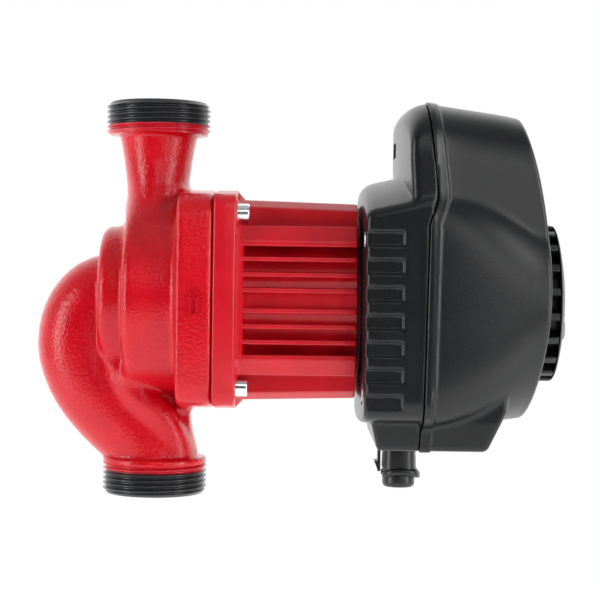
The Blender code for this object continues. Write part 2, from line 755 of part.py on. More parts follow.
def seam_half(name, side):
    """Everything on one side of the parting line: behind it for side -1, in front of it for side 1."""
    line = [(seam_x(z) + side * SEAM_GAP / 2 * -1, z) for z in (-80, 34, 46, BOX_TOP + 12)]
    far = 60.0 if side < 0 else 220.0
    return plate(name, [line + [(far, BOX_TOP + 12), (far, -80)]], -70, 70, along="Y", helper=True)


def terminal_block(name, low, high, slant, inset=0.0):
    """The terminal compartment that hangs under the body, seen from its side and run across it."""
    bottom = BOX_BOTTOM + inset
    outline = [(low, -44), (low, bottom), (high - slant, bottom), (high, -47), (high, -44)]
    return plate(name, [outline], -TERMINAL_HALF + inset, TERMINAL_HALF - inset, along="Y", helper=True)


def shell(name, bodies, hollows, seam_side):
    """One half of the box: its bodies joined, its hollows taken out, and the far side cut away."""
    made = merged(name, bodies[:1], BLACK)
    join(made, *bodies[1:])
    cut(made, *hollows, seam_half(f"{name}_seam", seam_side))
    return made


def make_front_cover():
    shares = (0.0, 0.25, 0.5, 0.75, 1.0)
    solids = [
        shell_body("cover_drum", drum_outline, seam_x, front_x, shares, before=6),
        shell_body("cover_upper", upper_outline, seam_x, front_x, shares, before=6),
        terminal_block("cover_terminal", SEAM - 6, TERMINAL_FRONT, TERMINAL_SLANT),
    ]
    hollows = [
        shell_body("cover_drum_hollow", drum_outline, seam_x, front_x, shares, WALL, before=12),
        shell_body("cover_upper_hollow", upper_outline, seam_x, front_x, shares, WALL, before=12),
        terminal_block("cover_terminal_hollow", SEAM - 12, TERMINAL_FRONT - WALL, TERMINAL_SLANT, WALL),
        rod("vent_seat", VENT_SEAT_RADIUS, VENT_SEAT, 190, steps=32, helper=True),
        rod("vent_opening", VENT_OPENING, 150, 190, helper=True),
    ]
    cover = shell("front_cover", solids, hollows, -1)
    for number, (y, z) in enumerate(BOSSES, 1):
        boss = plate(f"cover_boss_{number}", [circle(4.2, steps=12), circle(1.5, steps=8)], SEAM + 7,
                     SEAM + 27,
                     at=(0, y, z), helper=True)
        join(cover, boss)
    return cover


def rear_drum_outline(share, inset):
    """The rear collar: its rear edge is drawn in a little, and it meets the cover's outline at the seam."""
    draw = 1.4 * (1 - share) ** 2
    half = BOX_HALF_WIDTH - draw - inset
    top = 53.5 + 1.5 * share - draw - inset
    side_top = 40 - draw - inset
    bottom = BODY_BOTTOM + draw + inset
    side_bottom = -50 + draw + inset
    corners = [(half, side_bottom, 9), (half, side_top, 6), (0, top, 60), (-half, side_top, 6),
               (-half, side_bottom, 9), (0, bottom, 6)]
    return rounded(corners, segments=3)


def rear_upper_outline(share, inset):
    draw = 7.0 * (1 - share) ** 2
    half = 58 - draw - inset
    top = BOX_TOP - draw - inset
    corners = [(half, 6, 3), (half + 0.01, top - 2, 15), (0, top + 0.5, 40), (-half - 0.01, top - 2, 15),
               (-half, 6, 3)]
    return rounded(corners, segments=3)


def make_rear_shell():
    shares = (0.0, 0.12, 0.5, 1.0)
    solids = [
        shell_body("rear_drum", rear_drum_outline, lambda z: BOX_REAR, lambda z: SEAM, shares, after=6),
        shell_body("rear_upper", rear_upper_outline, lambda z: UPPER_REAR, seam_x, shares, after=6),
        terminal_block("rear_terminal", TERMINAL_REAR, SEAM + 6, 0),
    ]
    hollows = [
        shell_body("rear_drum_hollow", rear_drum_outline, lambda z: BOX_REAR, lambda z: SEAM, shares, WALL,
                   after=12),
        shell_body("rear_upper_hollow", rear_upper_outline, lambda z: UPPER_REAR, seam_x, shares, WALL,
                   after=12),
        terminal_block("rear_terminal_hollow", TERMINAL_REAR + WALL, SEAM + 12, 0, WALL),
        rod("motor_opening", 12, 90, 97, at=(0, 0, 26), steps=20, helper=True),
        box("rear_slot", (8, 18, 7), (UPPER_REAR, 0, 69.5), helper=True),
        rod("plug_opening", 5.5, -70, -55, along="Z", at=(PLUG_X, 0, 0), steps=20, helper=True),
    ]
    pockets = []
    for side in (1, -1):
        for i in range(POCKETS):
            place = (103, side * (BOX_HALF_WIDTH - 0.2), POCKET_TOP - POCKET_PITCH * i)
            pockets.append(box(f"pocket_{side}_{i}", (15.6, 3, 6), place, helper=True))
    hollows.append(merged("pockets", pockets, helper=True))
    made = shell("rear_shell", solids, hollows, 1)
    for number, (y, z) in enumerate(BOSSES, 1):
        post = rod(f"rear_post_{number}", 5.2, BOX_REAR + 1, SEAM - 2, at=(0, y, z), steps=12, helper=True)
        join(made, post)
        cut(made, rod(f"screw_way_{number}", 2.0, 90, SEAM, at=(0, y, z), steps=8, helper=True),
            rod(f"head_way_{number}", 3.9, 90, BOX_REAR + SCREW_POCKET, at=(0, y, z), steps=12, helper=True))
    for number, (y, z) in enumerate(four_corners(20), 1):
        cut(made, rod(f"box_screw_way_{number}", 2.1, 90, 97, at=(0, y, z), steps=12, helper=True))
    return made


def make_heat_sink():
    fins = [(101, -41), (101, 41)]
    for i in range(9):
        edge = 41 - i * 9.95
        fins += [(109.5, edge), (109.5, edge - 2.4)]
        if i < 8:
            fins += [(103.4, edge - 2.4), (103.4, edge - 9.95)]
    sink = plate("heat_sink", [fins], -24, 36, ALUMINIUM, along="Z")
    legs = merged("legs", [rod(f"leg_{i}", 3, BOX_REAR + WALL + 0.3, 102, at=(0, y, z), steps=12, helper=True)
                           for i, (y, z) in enumerate(((35, 30), (-35, 30), (35, -18), (-35, -18)))],
                           helper=True)
    join(sink, legs)
    for number, (y, z) in enumerate(four_corners(20), 1):
        cut(sink, rod(f"driver_way_{number}", 4.6, 100, 111, at=(0, y, z), steps=12, helper=True))
    return sink


def make_electronics():
    make_heat_sink()
    outline = rounded([(40, -42, 3), (44, 46, 3), (40, 72, 3), (-40, 72, 3), (-44, 46, 3), (-40, -42, 3)],
                      segments=2)
    plate("power_board", [outline], 114, 115.6, BOARD)
    box("power_module", (3.6, 34, 24), (111.7, 0, 6), CARBON, bevel=0.5)
    for number, y in enumerate((-24, 24), 1):
        rod(f"capacitor_{number}", 9, 115.9, 148, SLEEVE_BLUE, at=(0, y, 56), steps=24)
    ring = arc(5.2, 360, 0, 8, (12.6, 0))[:-1]
    turned("choke", [(r, h + 121.4) for r, h in ring], COPPER, at=(0, 14, 12), steps=20, ring=True)
    terminal = box("terminal_block", (22, 60, 9), (136, 0, -56.6), TERMINAL, bevel=0.8)
    ways = [box(f"way_{i}", (8, 7, 5), (147, -22.5 + 15 * i, -56.6), helper=True) for i in range(4)]
    cut(terminal, merged("terminal_ways", ways, helper=True))
    board = plate("control_board", [circle(23.4, steps=28)], 167.6, 169.2, BOARD)
    switches = [box(f"switch_{name}", (1.5, 5, 5), (169.2, *at), helper=True) for name, at in BUTTONS.items()]
    join(board, merged("switches", switches, helper=True))


def seal_line():
    """The inside edge of the parting line, from the terminal block's left side over the top to its right."""
    upper = [(y, z) for y, z in upper_outline(0, 3.6) if z > 50]
    lower = [(y, z) for y, z in drum_outline(0, 3.6) if z < 36]
    right = sorted(((y, z) for y, z in lower if y > 0), key=lambda p: p[1])
    left = sorted(((y, z) for y, z in lower if y < 0), key=lambda p: -p[1])
    return right + upper + left


def make_cover_seal():
    curve = bpy.data.curves.new("cover_seal", "CURVE")
    curve.dimensions = "3D"
    curve.bevel_depth = 0.8 * MM
    curve.bevel_resolution = 1
    line = seal_line()
    spline = curve.splines.new("POLY")
    spline.points.add(len(line) - 1)
    for point, (y, z) in zip(spline.points, line):
        point.co = (seam_x(z) * MM, y * MM, z * MM, 1)
    spline.use_cyclic_u = True
    add("cover_seal", curve, RUBBER)


def dome_x(radius, inset=0.0):
    return DISC_FRONT - inset - DISC_SAG * (radius / DISC_RADIUS) ** 2


def make_vent_ring():
    ring = turned(
        "vent_ring",
        [(27.6, 181.8), (30.4, 181.8), (30.4, 176), (36.4, 176), (36.9, 175.4), (36.9, VENT_SEAT + 0.3),
         (30.9, VENT_SEAT + 0.3), (30.9, 166), (27.6, 166)],
        PANEL, ring=True, steps=32,
    )
    ribs = []
    for i in range(VENT_RIBS):
        angle = 2 * math.pi * (i + 0.5) / VENT_RIBS
        rib = box(f"rib_{i}", (6.2, 6.0, 3.8), (178.7, 33 * math.cos(angle), 33 * math.sin(angle)),
                  helper=True)
        rib.rotation_euler = (angle, 0, 0)
        ribs.append(rib)
    join(ring, merged("vent_ribs", ribs, helper=True))


def make_control_panel():
    radii = (0, 15, 27, 35.6)
    outer = [(r, dome_x(r)) for r in radii] + [(DISC_RADIUS, dome_x(36) - 0.5), (DISC_RADIUS, 182.1)]
    inner = [(26.6, 182.1), (26.6, 170), (24.4, 170), (24.4, dome_x(24, 2.4)), (16, dome_x(16, 2.4)),
             (0, dome_x(0, 2.4))]
    panel = turned("control_panel", outer + inner, PANEL, steps=32)
    window = plate("window_cut", [rounded([(-13.3, 5.7, 2), (-13.3, 15.3, 2), (13.3, 15.3, 2),
                                           (13.3, 5.7, 2)], 2)],
                   170, 195, helper=True)
    cut(panel, window)
    lens = plate("panel_lens", [rounded([(-13, 6, 1.8), (-13, 15, 1.8), (13, 15, 1.8), (13, 6, 1.8)], 2)],
                 181, 185.2, CLEAR)
    rim = plate("lens_rim", [rounded([(-15, 4, 1.8), (-15, 17, 1.8), (15, 17, 1.8), (15, 4, 1.8)], 2)],
                180.2, 182.0, helper=True)
    join(lens, rim)
    for name, (y, z) in BUTTONS.items():
        cut(panel, rod(f"{name}_way", BUTTON_RADIUS + 0.3, 170, 195, at=(0, y, z), steps=16, helper=True))
        face = dome_x(math.hypot(y, z)) + BUTTON_PROUD
        turned(
            name,
            [(0, face - 170), (BUTTON_RADIUS - 1, face - 170), (BUTTON_RADIUS, face - 170.7),
             (BUTTON_RADIUS, 11),
             (BUTTON_RADIUS + 1, 11), (BUTTON_RADIUS + 1, 9.6), (2, 9.6), (2, 0.9), (0, 0.9)],
            BUTTON_GREY, at=(170, y, z), steps=16,
        )


def make_plug():
    """The moulded mains plug: it pushes up into the box and its latch hooks the box's rear edge."""
    bottom = BOX_BOTTOM - 1.4
    body = box("plug_body", (14.6, 20, 14.4), (PLUG_X + 1.3, 0, bottom - 7.2), BLACK, bevel=1.0)
    collar = box("plug_collar", (18, 22, 3.0), (PLUG_X + 1.4, 0, bottom - 14.2), bevel=1.0, helper=True)
    fin = plate("plug_fin", [[(119, bottom - 2), (123.2, bottom - 13), (123.2, bottom - 15),
                              (117, bottom - 15)]],
                -1.2, 1.2, along="Y", helper=True)
    plug_neck = rod("plug_neck", 5.0, bottom - 4, bottom + 6, along="Z", at=(PLUG_X, 0, 0), steps=20,
                    helper=True)
    join(body, collar, fin, plug_neck)
    ear = box("latch_ear", (5.6, 9, 1.1), (105.8, 0, bottom - 0.55), helper=True)
    join(body, ear)
    cap_top = bottom - 16.0
    turned(
        "plug_cap",
        [(0, cap_top), (PLUG_RADIUS, cap_top), (PLUG_RADIUS, PLUG_BOTTOM + 1.4),
         (PLUG_RADIUS - 1.6, PLUG_BOTTOM),
         (0, PLUG_BOTTOM)],
        BLACK, along="Z", at=(PLUG_X + 0.6, 0, 0), steps=24,
    )
    latch = plate(
        "plug_latch",
        [[(103.2, bottom - 1.4), (104.7, bottom - 1.4), (104.7, bottom - 12), (103.2, bottom - 12),
          (103.2, bottom - 8.4), (101.6, bottom - 6.4), (103.2, bottom - 4.6)]],
        -4.5, 4.5, BLACK, along="Y",
    )
    bored("plug_seal", 7.6, 5.8, bottom + 0.2, BOX_BOTTOM - 0.2, RUBBER, along="Z", at=(PLUG_X, 0, 0),
          steps=24)


def make_box_screws():
    for number, (y, z) in enumerate(four_corners(20), 1):
        turned(
            f"box_screw_{number}",
            [(0, 2.8), (3.6, 2.8), (3.6, 0.3), (1.7, 0.3), (1.7, -9.5), (0, -9.5)],
            ZINC, at=(BOX_REAR + WALL, y, z), steps=12,
        )
    seat = BOX_REAR + SCREW_POCKET - 0.3
    for number, (y, z) in enumerate(BOSSES, 1):
        turned(
            f"cover_screw_{number}",
            [(0, SEAM + 16), (1.3, SEAM + 16), (1.3, seat), (3.5, seat), (3.5, seat - 2.4), (0, seat - 2.4)],
            ZINC, at=(0, y, z), steps=12,
        )


def main():
    make_pump_housing()
    make_hydraulic_inserts()
    make_impeller()
    make_rotor()
    make_bearings_and_can()
    make_stator()
    make_motor_housing()
    for number, (y, z) in enumerate(four_corners(SCREW_OFFSET), 1):
        socket_screw(f"flange_screw_{number}", (MOTOR_FLANGE_FACE, y, z), SCREW_HEAD_RADIUS,
                     SCREW_HEAD_HEIGHT,
                     SCREW_RADIUS, 20, WASHER_HEIGHT)
    make_rear_shell()
    make_front_cover()
    make_cover_seal()
    make_electronics()
    make_vent_ring()
    make_control_panel()
    make_box_screws()
    make_plug()


main()
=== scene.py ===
"""The circulator pump as it looks.

Each visible CAD node is kept, or replaced by a finer piece on the same body. Shapes are worked out in
millimetres, with heights counted from the motor's axis, and to_world turns them into the frame's metres.
Cast and moulded shapes are signed distance fields, meshed by a small surface-nets routine.
"""

import json
import math

import bmesh
import bpy
import numpy as np
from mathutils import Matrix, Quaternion, Vector


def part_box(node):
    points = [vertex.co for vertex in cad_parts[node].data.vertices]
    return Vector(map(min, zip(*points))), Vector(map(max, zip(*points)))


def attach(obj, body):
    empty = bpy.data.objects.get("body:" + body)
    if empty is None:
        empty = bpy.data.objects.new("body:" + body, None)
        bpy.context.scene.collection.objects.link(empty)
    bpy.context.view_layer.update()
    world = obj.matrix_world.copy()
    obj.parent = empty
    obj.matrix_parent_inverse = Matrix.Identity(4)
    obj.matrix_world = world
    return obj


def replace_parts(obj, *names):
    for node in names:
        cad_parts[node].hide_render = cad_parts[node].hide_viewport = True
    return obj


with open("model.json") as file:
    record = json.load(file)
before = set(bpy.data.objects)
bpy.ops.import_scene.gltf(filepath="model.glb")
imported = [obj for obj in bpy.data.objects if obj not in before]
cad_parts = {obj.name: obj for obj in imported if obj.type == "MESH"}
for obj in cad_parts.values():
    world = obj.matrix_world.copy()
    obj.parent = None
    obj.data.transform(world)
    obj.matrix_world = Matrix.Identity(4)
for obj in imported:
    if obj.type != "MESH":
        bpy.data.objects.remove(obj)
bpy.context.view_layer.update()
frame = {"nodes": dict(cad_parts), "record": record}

MM = 0.001
AXIS_HEIGHT = 90.0
TAU = 2 * math.pi


# Fields and meshing


def smin(a, b, k):
    """A union whose inner corner is filleted over about k."""
    h = np.maximum(k - np.abs(a - b), 0) / k
    return np.minimum(a, b) - h * h * k / 4


def smax(a, b, k):
    """An intersection whose outer corner is rounded over about k."""
    return -smin(-a, -b, k)


def ramp(value, low, high):
    """0 below low, 1 above high, and a smooth rise between."""
    t = np.clip((value - low) / (high - low), 0, 1)
    return t * t * (3 - 2 * t)


def drum(u, r, low, high, radius, edge):
    """A cylinder with rounded edges, from its height u and its distance r off the axis."""
    qu = np.abs(u - (low + high) / 2) - (high - low) / 2 + edge
    qr = r - radius + edge
    return np.hypot(np.maximum(qu, 0), np.maximum(qr, 0)) + np.minimum(np.maximum(qu, qr), 0) - edge


def slab(x, y, z, low, high, edge):
    """A box with rounded edges."""
    outside, inside = 0, -1e9
    for value, a, b in zip((x, y, z), low, high):
        q = np.abs(value - (a + b) / 2) - (b - a) / 2 + edge
        outside = outside + np.maximum(q, 0) ** 2
        inside = np.maximum(inside, q)
    return np.sqrt(outside) + np.minimum(inside, 0) - edge


def spline(stations, per_span=4):
    """A smooth line through the stations."""
    points = [np.array(s, float) for s in stations]
    line = []
    for i in range(len(points) - 1):
        a, b, c, d = points[max(i - 1, 0)], points[i], points[i + 1], points[min(i + 2, len(points) - 1)]
        for t in np.arange(per_span) / per_span:
            line.append(0.5 * (2 * b + (c - a) * t + (2 * a - 5 * b + 4 * c - d) * t ** 2
                               + (3 * b - a - 3 * c + d) * t ** 3))
    return line + [points[-1]]


def sweep(x, y, z, stations, per_span=3):
    """The distance to a pipe whose stations are (x, y, z, radius)."""
    line = spline(stations, per_span)
    best = np.full(x.shape, 1e9, np.float32)
    for a, b in zip(line, line[1:]):
        ab = b[:3] - a[:3]
        t = ((x - a[0]) * ab[0] + (y - a[1]) * ab[1] + (z - a[2]) * ab[2]) / float(ab @ ab)
        t = np.clip(t, 0, 1).astype(np.float32)
        gap = np.sqrt((x - a[0] - t * ab[0]) ** 2 + (y - a[1] - t * ab[1]) ** 2 + (z - a[2] - t * ab[2]) ** 2)
        best = np.minimum(best, gap - a[3] - t * (b[3] - a[3]))
    return best


CORNERS = [(i, j, k) for i in (0, 1) for j in (0, 1) for k in (0, 1)]
EDGES = [(a, b) for a in CORNERS for b in CORNERS if a < b and sum(p != q for p, q in zip(a, b)) == 1]


def surface_net(field, low, high, step):
    """Vertices and quads of a field's zero surface, with each vertex moved onto that surface."""
    axes = [np.arange(a, b + step, step, dtype=np.float32) for a, b in zip(low, high)]
    values = field(*np.meshgrid(*axes, indexing="ij"))
    inside = values < 0
    shape = [n - 1 for n in values.shape]

    def corner(grid, c):
        return grid[c[0]:c[0] + shape[0], c[1]:c[1] + shape[1], c[2]:c[2] + shape[2]]

    filled = sum(corner(inside, c).astype(np.int8) for c in CORNERS)
    active = (filled > 0) & (filled < 8)
    cells = np.argwhere(active)
    number = np.full(shape, -1, np.int64)
    number[active] = np.arange(len(cells))
    total, count = np.zeros((len(cells), 3)), np.zeros(len(cells))
    for a, b in EDGES:
        va, vb = corner(values, a)[active], corner(values, b)[active]
        crossed = (va < 0) != (vb < 0)
        t = np.where(crossed, va / np.where(crossed, va - vb, 1), 0)[:, None]
        total += np.where(crossed[:, None], np.array(a) + t * (np.array(b) - np.array(a)), 0)
        count += crossed
    points = (cells + total / count[:, None]) * step + np.array(low)
    quads = []
    for axis in range(3):
        others = [i for i in range(3) if i != axis]
        near = [slice(1, n) for n in shape]
        near[axis] = slice(0, shape[axis])
        far = list(near)
        far[axis] = slice(1, shape[axis] + 1)
        first, second = inside[tuple(near)], inside[tuple(far)]
        spots = np.argwhere(first != second)
        for i in others:
            spots[:, i] += 1
        ring = []
        for p, q in ((1, 1), (0, 1), (0, 0), (1, 0)):
            at = spots.copy()
            at[:, others[0]] -= p
            at[:, others[1]] -= q
            ring.append(number[at[:, 0], at[:, 1], at[:, 2]])
        ring = np.stack(ring, 1)
        leaving = first[first != second]
        turn = leaving if axis != 1 else ~leaving
        quads.append(np.where(turn[:, None], ring, ring[:, ::-1]))
    quads = np.concatenate(quads)
    points = points.astype(np.float32)
    for _ in range(3):
        grad = np.stack([field(*(points + e).T) - field(*(points - e).T)
                         for e in np.eye(3, dtype=np.float32) * 0.05], 1) / 0.1
        size = np.maximum((grad ** 2).sum(1), 0.2)
        move = -field(*points.T)[:, None] * grad / size[:, None]
        points += np.clip(move, -0.4 * step, 0.4 * step)
    return points, quads


def to_world(points):
    return (np.asarray(points, float) + (0, 0, AXIS_HEIGHT)) * MM


def piece(name, mesh, material, body="pump", crease=None):
    """Puts a mesh in the scene as a piece that rides on a body."""
    obj = bpy.data.objects.new(name, mesh)
    bpy.context.scene.collection.objects.link(obj)
    mesh.materials.append(material)
    mesh.shade_smooth()
    if crease:
        mesh.set_sharp_from_angle(angle=math.radians(crease))
    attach(obj, body)
    return obj


def mesh_from(name, points, faces):
    mesh = bpy.data.meshes.new(name)
    mesh.from_pydata([tuple(p) for p in to_world(points)], [], [tuple(int(i) for i in f) for f in faces])
    mesh.update()
    return mesh


def field_mesh(name, field, low, high, step):
    return mesh_from(name, *surface_net(field, low, high, step))


def loft_mesh(name, rings, closed=False, caps=True):
    """A skin over rings of equally many points. A closed one joins its last ring to its first."""
    rings = [np.asarray(r, float) for r in rings]
    n, m = len(rings[0]), len(rings)
    faces = []
    for k in range(m if closed else m - 1):
        a, b = k * n, (k + 1) % m * n
        faces += [(a + i, a + (i + 1) % n, b + (i + 1) % n, b + i) for i in range(n)]
    if caps and not closed:
        faces += [tuple(range(n))[::-1], tuple((m - 1) * n + i for i in range(n))]
    mesh = mesh_from(name, np.concatenate(rings), faces)
    shape = bmesh.new()
    shape.from_mesh(mesh)
    bmesh.ops.remove_doubles(shape, verts=shape.verts, dist=1e-6)
    bmesh.ops.triangulate(shape, faces=[f for f in shape.faces if len(f.verts) > 4])
    bmesh.ops.recalc_face_normals(shape, faces=shape.faces)
    shape.to_mesh(mesh)
    shape.free()
    return mesh


def softened(corners, edge=0.5, steps=3):
    """A profile with each corner (a, b) or (a, b, radius) rounded. Points on the axis stay sharp."""
    out = []
    for i, corner in enumerate(corners):
        here = np.array(corner[:2], float)
        radius = corner[2] if len(corner) > 2 else edge
        if radius == 0 or i in (0, len(corners) - 1):
            out.append(tuple(here))
            continue
        back, ahead = np.array(corners[i - 1][:2]) - here, np.array(corners[i + 1][:2]) - here
        reach = min(radius, 0.49 * np.linalg.norm(back), 0.49 * np.linalg.norm(ahead))
        start, end = here + back / np.linalg.norm(back) * reach, here + ahead / np.linalg.norm(ahead) * reach
        for t in np.linspace(0, 1, steps + 1):
            out.append(tuple((1 - t) ** 2 * start + 2 * t * (1 - t) * here + t * t * end))
    return out


def softened_loop(corners, edge):
    """A closed profile with each corner rounded but the first."""
    return softened([*corners, corners[0]], edge)[:-1]


def turned_rings(profile, along, at, steps):
    """One circle for each (radius, height) point, around an axis along X or Z that runs through at."""
    turns = np.arange(steps) / steps * TAU
    rings = []
    for radius, height in profile:
        u, v, w = radius * np.cos(turns), radius * np.sin(turns), np.full(steps, height)
        ring = (w, u, v) if along == "X" else (u, v, w)
        rings.append(np.stack(ring, 1) + np.array(at))
    return rings


def lathe_mesh(name, profile, along="X", at=(0, 0, 0), steps=96):
    """A turned solid from (radius, height) points that start and end on the axis."""
    return loft_mesh(name, turned_rings(profile, along, at, steps), caps=False)


def ring_mesh(name, profile, steps=96):
    """A turned ring on the motor's axis, from a closed loop of (radius, height) points."""
    return loft_mesh(name, turned_rings(profile, "X", (0, 0, 0), steps), closed=True)


# Materials


def nodes_of(material):
    return material.node_tree.nodes, material.node_tree.links


def surface(name, colour, dark, roughness, grains, metallic=0.0, coat=0.0, spread=12.0,
            rough_spread=0.08, specular=0.5):
    """A paint, plastic or metal whose colour and gloss drift.

    Its grains are (size, height) pairs in millimetres, each a layer of bump.
    """
    material = bpy.data.materials.new(name)
    material.use_nodes = True
    nodes, links = nodes_of(material)
    shader = nodes["Principled BSDF"]
    shader.inputs["Metallic"].default_value = metallic
    shader.inputs["Coat Weight"].default_value = coat
    shader.inputs["Coat Roughness"].default_value = 0.08
    shader.inputs["Specular IOR Level"].default_value = specular
    place = nodes.new("ShaderNodeTexCoord")
    drift = nodes.new("ShaderNodeTexNoise")
    drift.inputs["Scale"].default_value = 1000 / spread
    drift.inputs["Detail"].default_value = 5
    links.new(place.outputs["Object"], drift.inputs["Vector"])
    tones = nodes.new("ShaderNodeValToRGB")
    tones.color_ramp.elements[0].position = 0.32
    tones.color_ramp.elements[0].color = (*dark, 1)
    tones.color_ramp.elements[1].position = 0.68
    tones.color_ramp.elements[1].color = (*colour, 1)
    links.new(drift.outputs["Fac"], tones.inputs["Fac"])
    links.new(tones.outputs["Color"], shader.inputs["Base Color"])
    gloss = nodes.new("ShaderNodeMapRange")
    gloss.inputs["To Min"].default_value = max(roughness - rough_spread, 0.02)
    gloss.inputs["To Max"].default_value = roughness + rough_spread
    links.new(drift.outputs["Fac"], gloss.inputs["Value"])
    links.new(gloss.outputs["Result"], shader.inputs["Roughness"])
    normal = None
    for size, height in grains:
        noise = nodes.new("ShaderNodeTexNoise")
        noise.inputs["Scale"].default_value = 1000 / size
        noise.inputs["Detail"].default_value = 2
        links.new(place.outputs["Object"], noise.inputs["Vector"])
        bump = nodes.new("ShaderNodeBump")
        bump.inputs["Distance"].default_value = height * MM
        bump.inputs["Strength"].default_value = 1.0
        links.new(noise.outputs["Fac"], bump.inputs["Height"])
        if normal:
            links.new(normal, bump.inputs["Normal"])
        normal = bump.outputs["Normal"]
    if normal:
        links.new(normal, shader.inputs["Normal"])
    return material


BARE_IRON = (0.012, 0.013, 0.015, 1)
BARE_ROUGHNESS = (0.34, 0.34, 0.34, 1)
PAINT_END = 79.2
PAINT_WAVER = 0.9


def paint_over_iron(material, edge):
    """Leaves the iron bare and black past a distance from the motor's axis, as on the ports' ends."""
    nodes, links = nodes_of(material)
    shader = nodes["Principled BSDF"]
    place = nodes.new("ShaderNodeTexCoord")
    split = nodes.new("ShaderNodeSeparateXYZ")
    links.new(place.outputs["Object"], split.inputs["Vector"])
    ragged = nodes.new("ShaderNodeTexNoise")
    ragged.inputs["Scale"].default_value = 160
    links.new(place.outputs["Object"], ragged.inputs["Vector"])
    height = nodes.new("ShaderNodeMath")
    height.operation = "SUBTRACT"
    height.inputs[1].default_value = AXIS_HEIGHT * MM
    links.new(split.outputs["Z"], height.inputs[0])
    reach = nodes.new("ShaderNodeMath")
    reach.operation = "ABSOLUTE"
    links.new(height.outputs["Value"], reach.inputs[0])
    waver = nodes.new("ShaderNodeMath")
    waver.operation = "MULTIPLY_ADD"
    waver.inputs[1].default_value = PAINT_WAVER * MM
    links.new(ragged.outputs["Fac"], waver.inputs[0])
    links.new(reach.outputs["Value"], waver.inputs[2])
    bare = nodes.new("ShaderNodeMapRange")
    bare.inputs["From Min"].default_value = (edge + 0.4) * MM
    bare.inputs["From Max"].default_value = (edge + 0.6) * MM
    links.new(waver.outputs["Value"], bare.inputs["Value"])
    for socket, tone in (("Base Color", BARE_IRON), ("Roughness", BARE_ROUGHNESS)):
        # a mix of colours has them at sockets 6 and 7, and gives the result at socket 2
        mix = nodes.new("ShaderNodeMix")
        mix.data_type = "RGBA"
        old = shader.inputs[socket].links[0].from_socket
        links.new(bare.outputs["Result"], mix.inputs["Factor"])
        links.new(old, mix.inputs[6])
        mix.inputs[7].default_value = tone
        links.new(mix.outputs[2], shader.inputs[socket])
    return material


CAST_RED = surface("cast_red", (0.62, 0.002, 0.013), (0.54, 0.002, 0.010), 0.25,
                   ((1.3, 0.28), (0.6, 0.08)), coat=0.05, specular=0.35)
THREAD = paint_over_iron(surface("port_thread", (0.58, 0.004, 0.018), (0.48, 0.003, 0.014), 0.34,
                                 ((1.2, 0.02),), coat=0.2), PAINT_END)
MOTOR_RED = surface("motor_red", (0.60, 0.002, 0.013), (0.54, 0.002, 0.011), 0.36,
                    ((3.0, 0.04), (0.6, 0.010)), coat=0.08, specular=0.42)
# the seal's red is the motor's red darkened about fivefold: painted shade for the recess between the motor
# and the box
SHADED_SEAL_RED = surface("seal_red_painted_shade", (0.12, 0.006, 0.01), (0.07, 0.004, 0.008), 0.6, ((1.0, 0.03),))
BLACK = surface("grained_black", (0.0050, 0.0055, 0.0066), (0.0035, 0.0040, 0.0050), 0.34,
                ((0.55, 0.055), (0.3, 0.025)), rough_spread=0.03, specular=0.42)
BLACK_SMOOTH = surface("smooth_black", (0.009, 0.0095, 0.0105), (0.006, 0.0065, 0.0075), 0.36,
                       ((0.5, 0.02),), rough_spread=0.05)
PANEL = surface("panel_black", (0.012, 0.013, 0.015), (0.009, 0.0095, 0.011), 0.40, ((0.5, 0.025),))
ZINC = surface("bright_zinc", (0.78, 0.80, 0.82), (0.62, 0.64, 0.66), 0.24, ((0.7, 0.002),),
               metallic=1.0, spread=6.0)
STEEL = surface("drawn_steel", (0.62, 0.62, 0.6), (0.5, 0.5, 0.48), 0.3, ((0.6, 0.01),), metallic=1.0)
CERAMIC = surface("ceramic", (0.86, 0.84, 0.78), (0.8, 0.78, 0.72), 0.4, ((0.4, 0.005),))
CARBON = surface("carbon", (0.03, 0.03, 0.032), (0.02, 0.02, 0.02), 0.5, ((0.5, 0.01),))
COMPOSITE = surface("composite", (0.13, 0.11, 0.09), (0.09, 0.08, 0.06), 0.5, ((0.8, 0.03),))
RUBBER = surface("rubber", (0.02, 0.02, 0.02), (0.012, 0.012, 0.012), 0.75, ((0.6, 0.03),))
LAMINATION = surface("lamination", (0.25, 0.25, 0.27), (0.16, 0.16, 0.17), 0.45, ((0.5, 0.03),), metallic=0.9)
COPPER = surface("copper", (0.72, 0.33, 0.14), (0.55, 0.22, 0.08), 0.35, ((0.8, 0.06),), metallic=1.0)
BUTTON = surface("button_grey", (0.3, 0.31, 0.32), (0.25, 0.26, 0.27), 0.5, ((0.4, 0.02),))
ALUMINIUM = surface("aluminium", (0.7, 0.71, 0.73), (0.6, 0.61, 0.62), 0.4, ((0.8, 0.01),), metallic=1.0)
BOARD = surface("board_green", (0.02, 0.16, 0.06), (0.015, 0.12, 0.045), 0.45, ((0.6, 0.02),))
SLEEVE = surface("capacitor_sleeve", (0.03, 0.05, 0.2), (0.02, 0.04, 0.16), 0.4, ((0.8, 0.01),))
TERMINAL = surface("terminal_grey", (0.35, 0.36, 0.38), (0.3, 0.31, 0.33), 0.5, ((0.5, 0.02),))
WINDOW = surface("window_amber", (0.10, 0.07, 0.01), (0.07, 0.05, 0.01), 0.12, ((3.0, 0.01),), coat=0.8)
SLOT_MATERIALS = {
    "red_cast_iron": CAST_RED, "red_motor": MOTOR_RED, "stainless": STEEL, "zinc_steel": ZINC,
    "ceramic": CERAMIC, "carbon": CARBON, "composite": COMPOSITE, "rubber": RUBBER,
    "lamination": LAMINATION, "copper": COPPER, "black_plastic": BLACK, "panel_plastic": PANEL,
    "clear_window": WINDOW, "button_grey": BUTTON, "aluminium": ALUMINIUM, "board_green": BOARD,
    "capacitor_sleeve": SLEEVE, "terminal_grey": TERMINAL,
}


# Pump housing

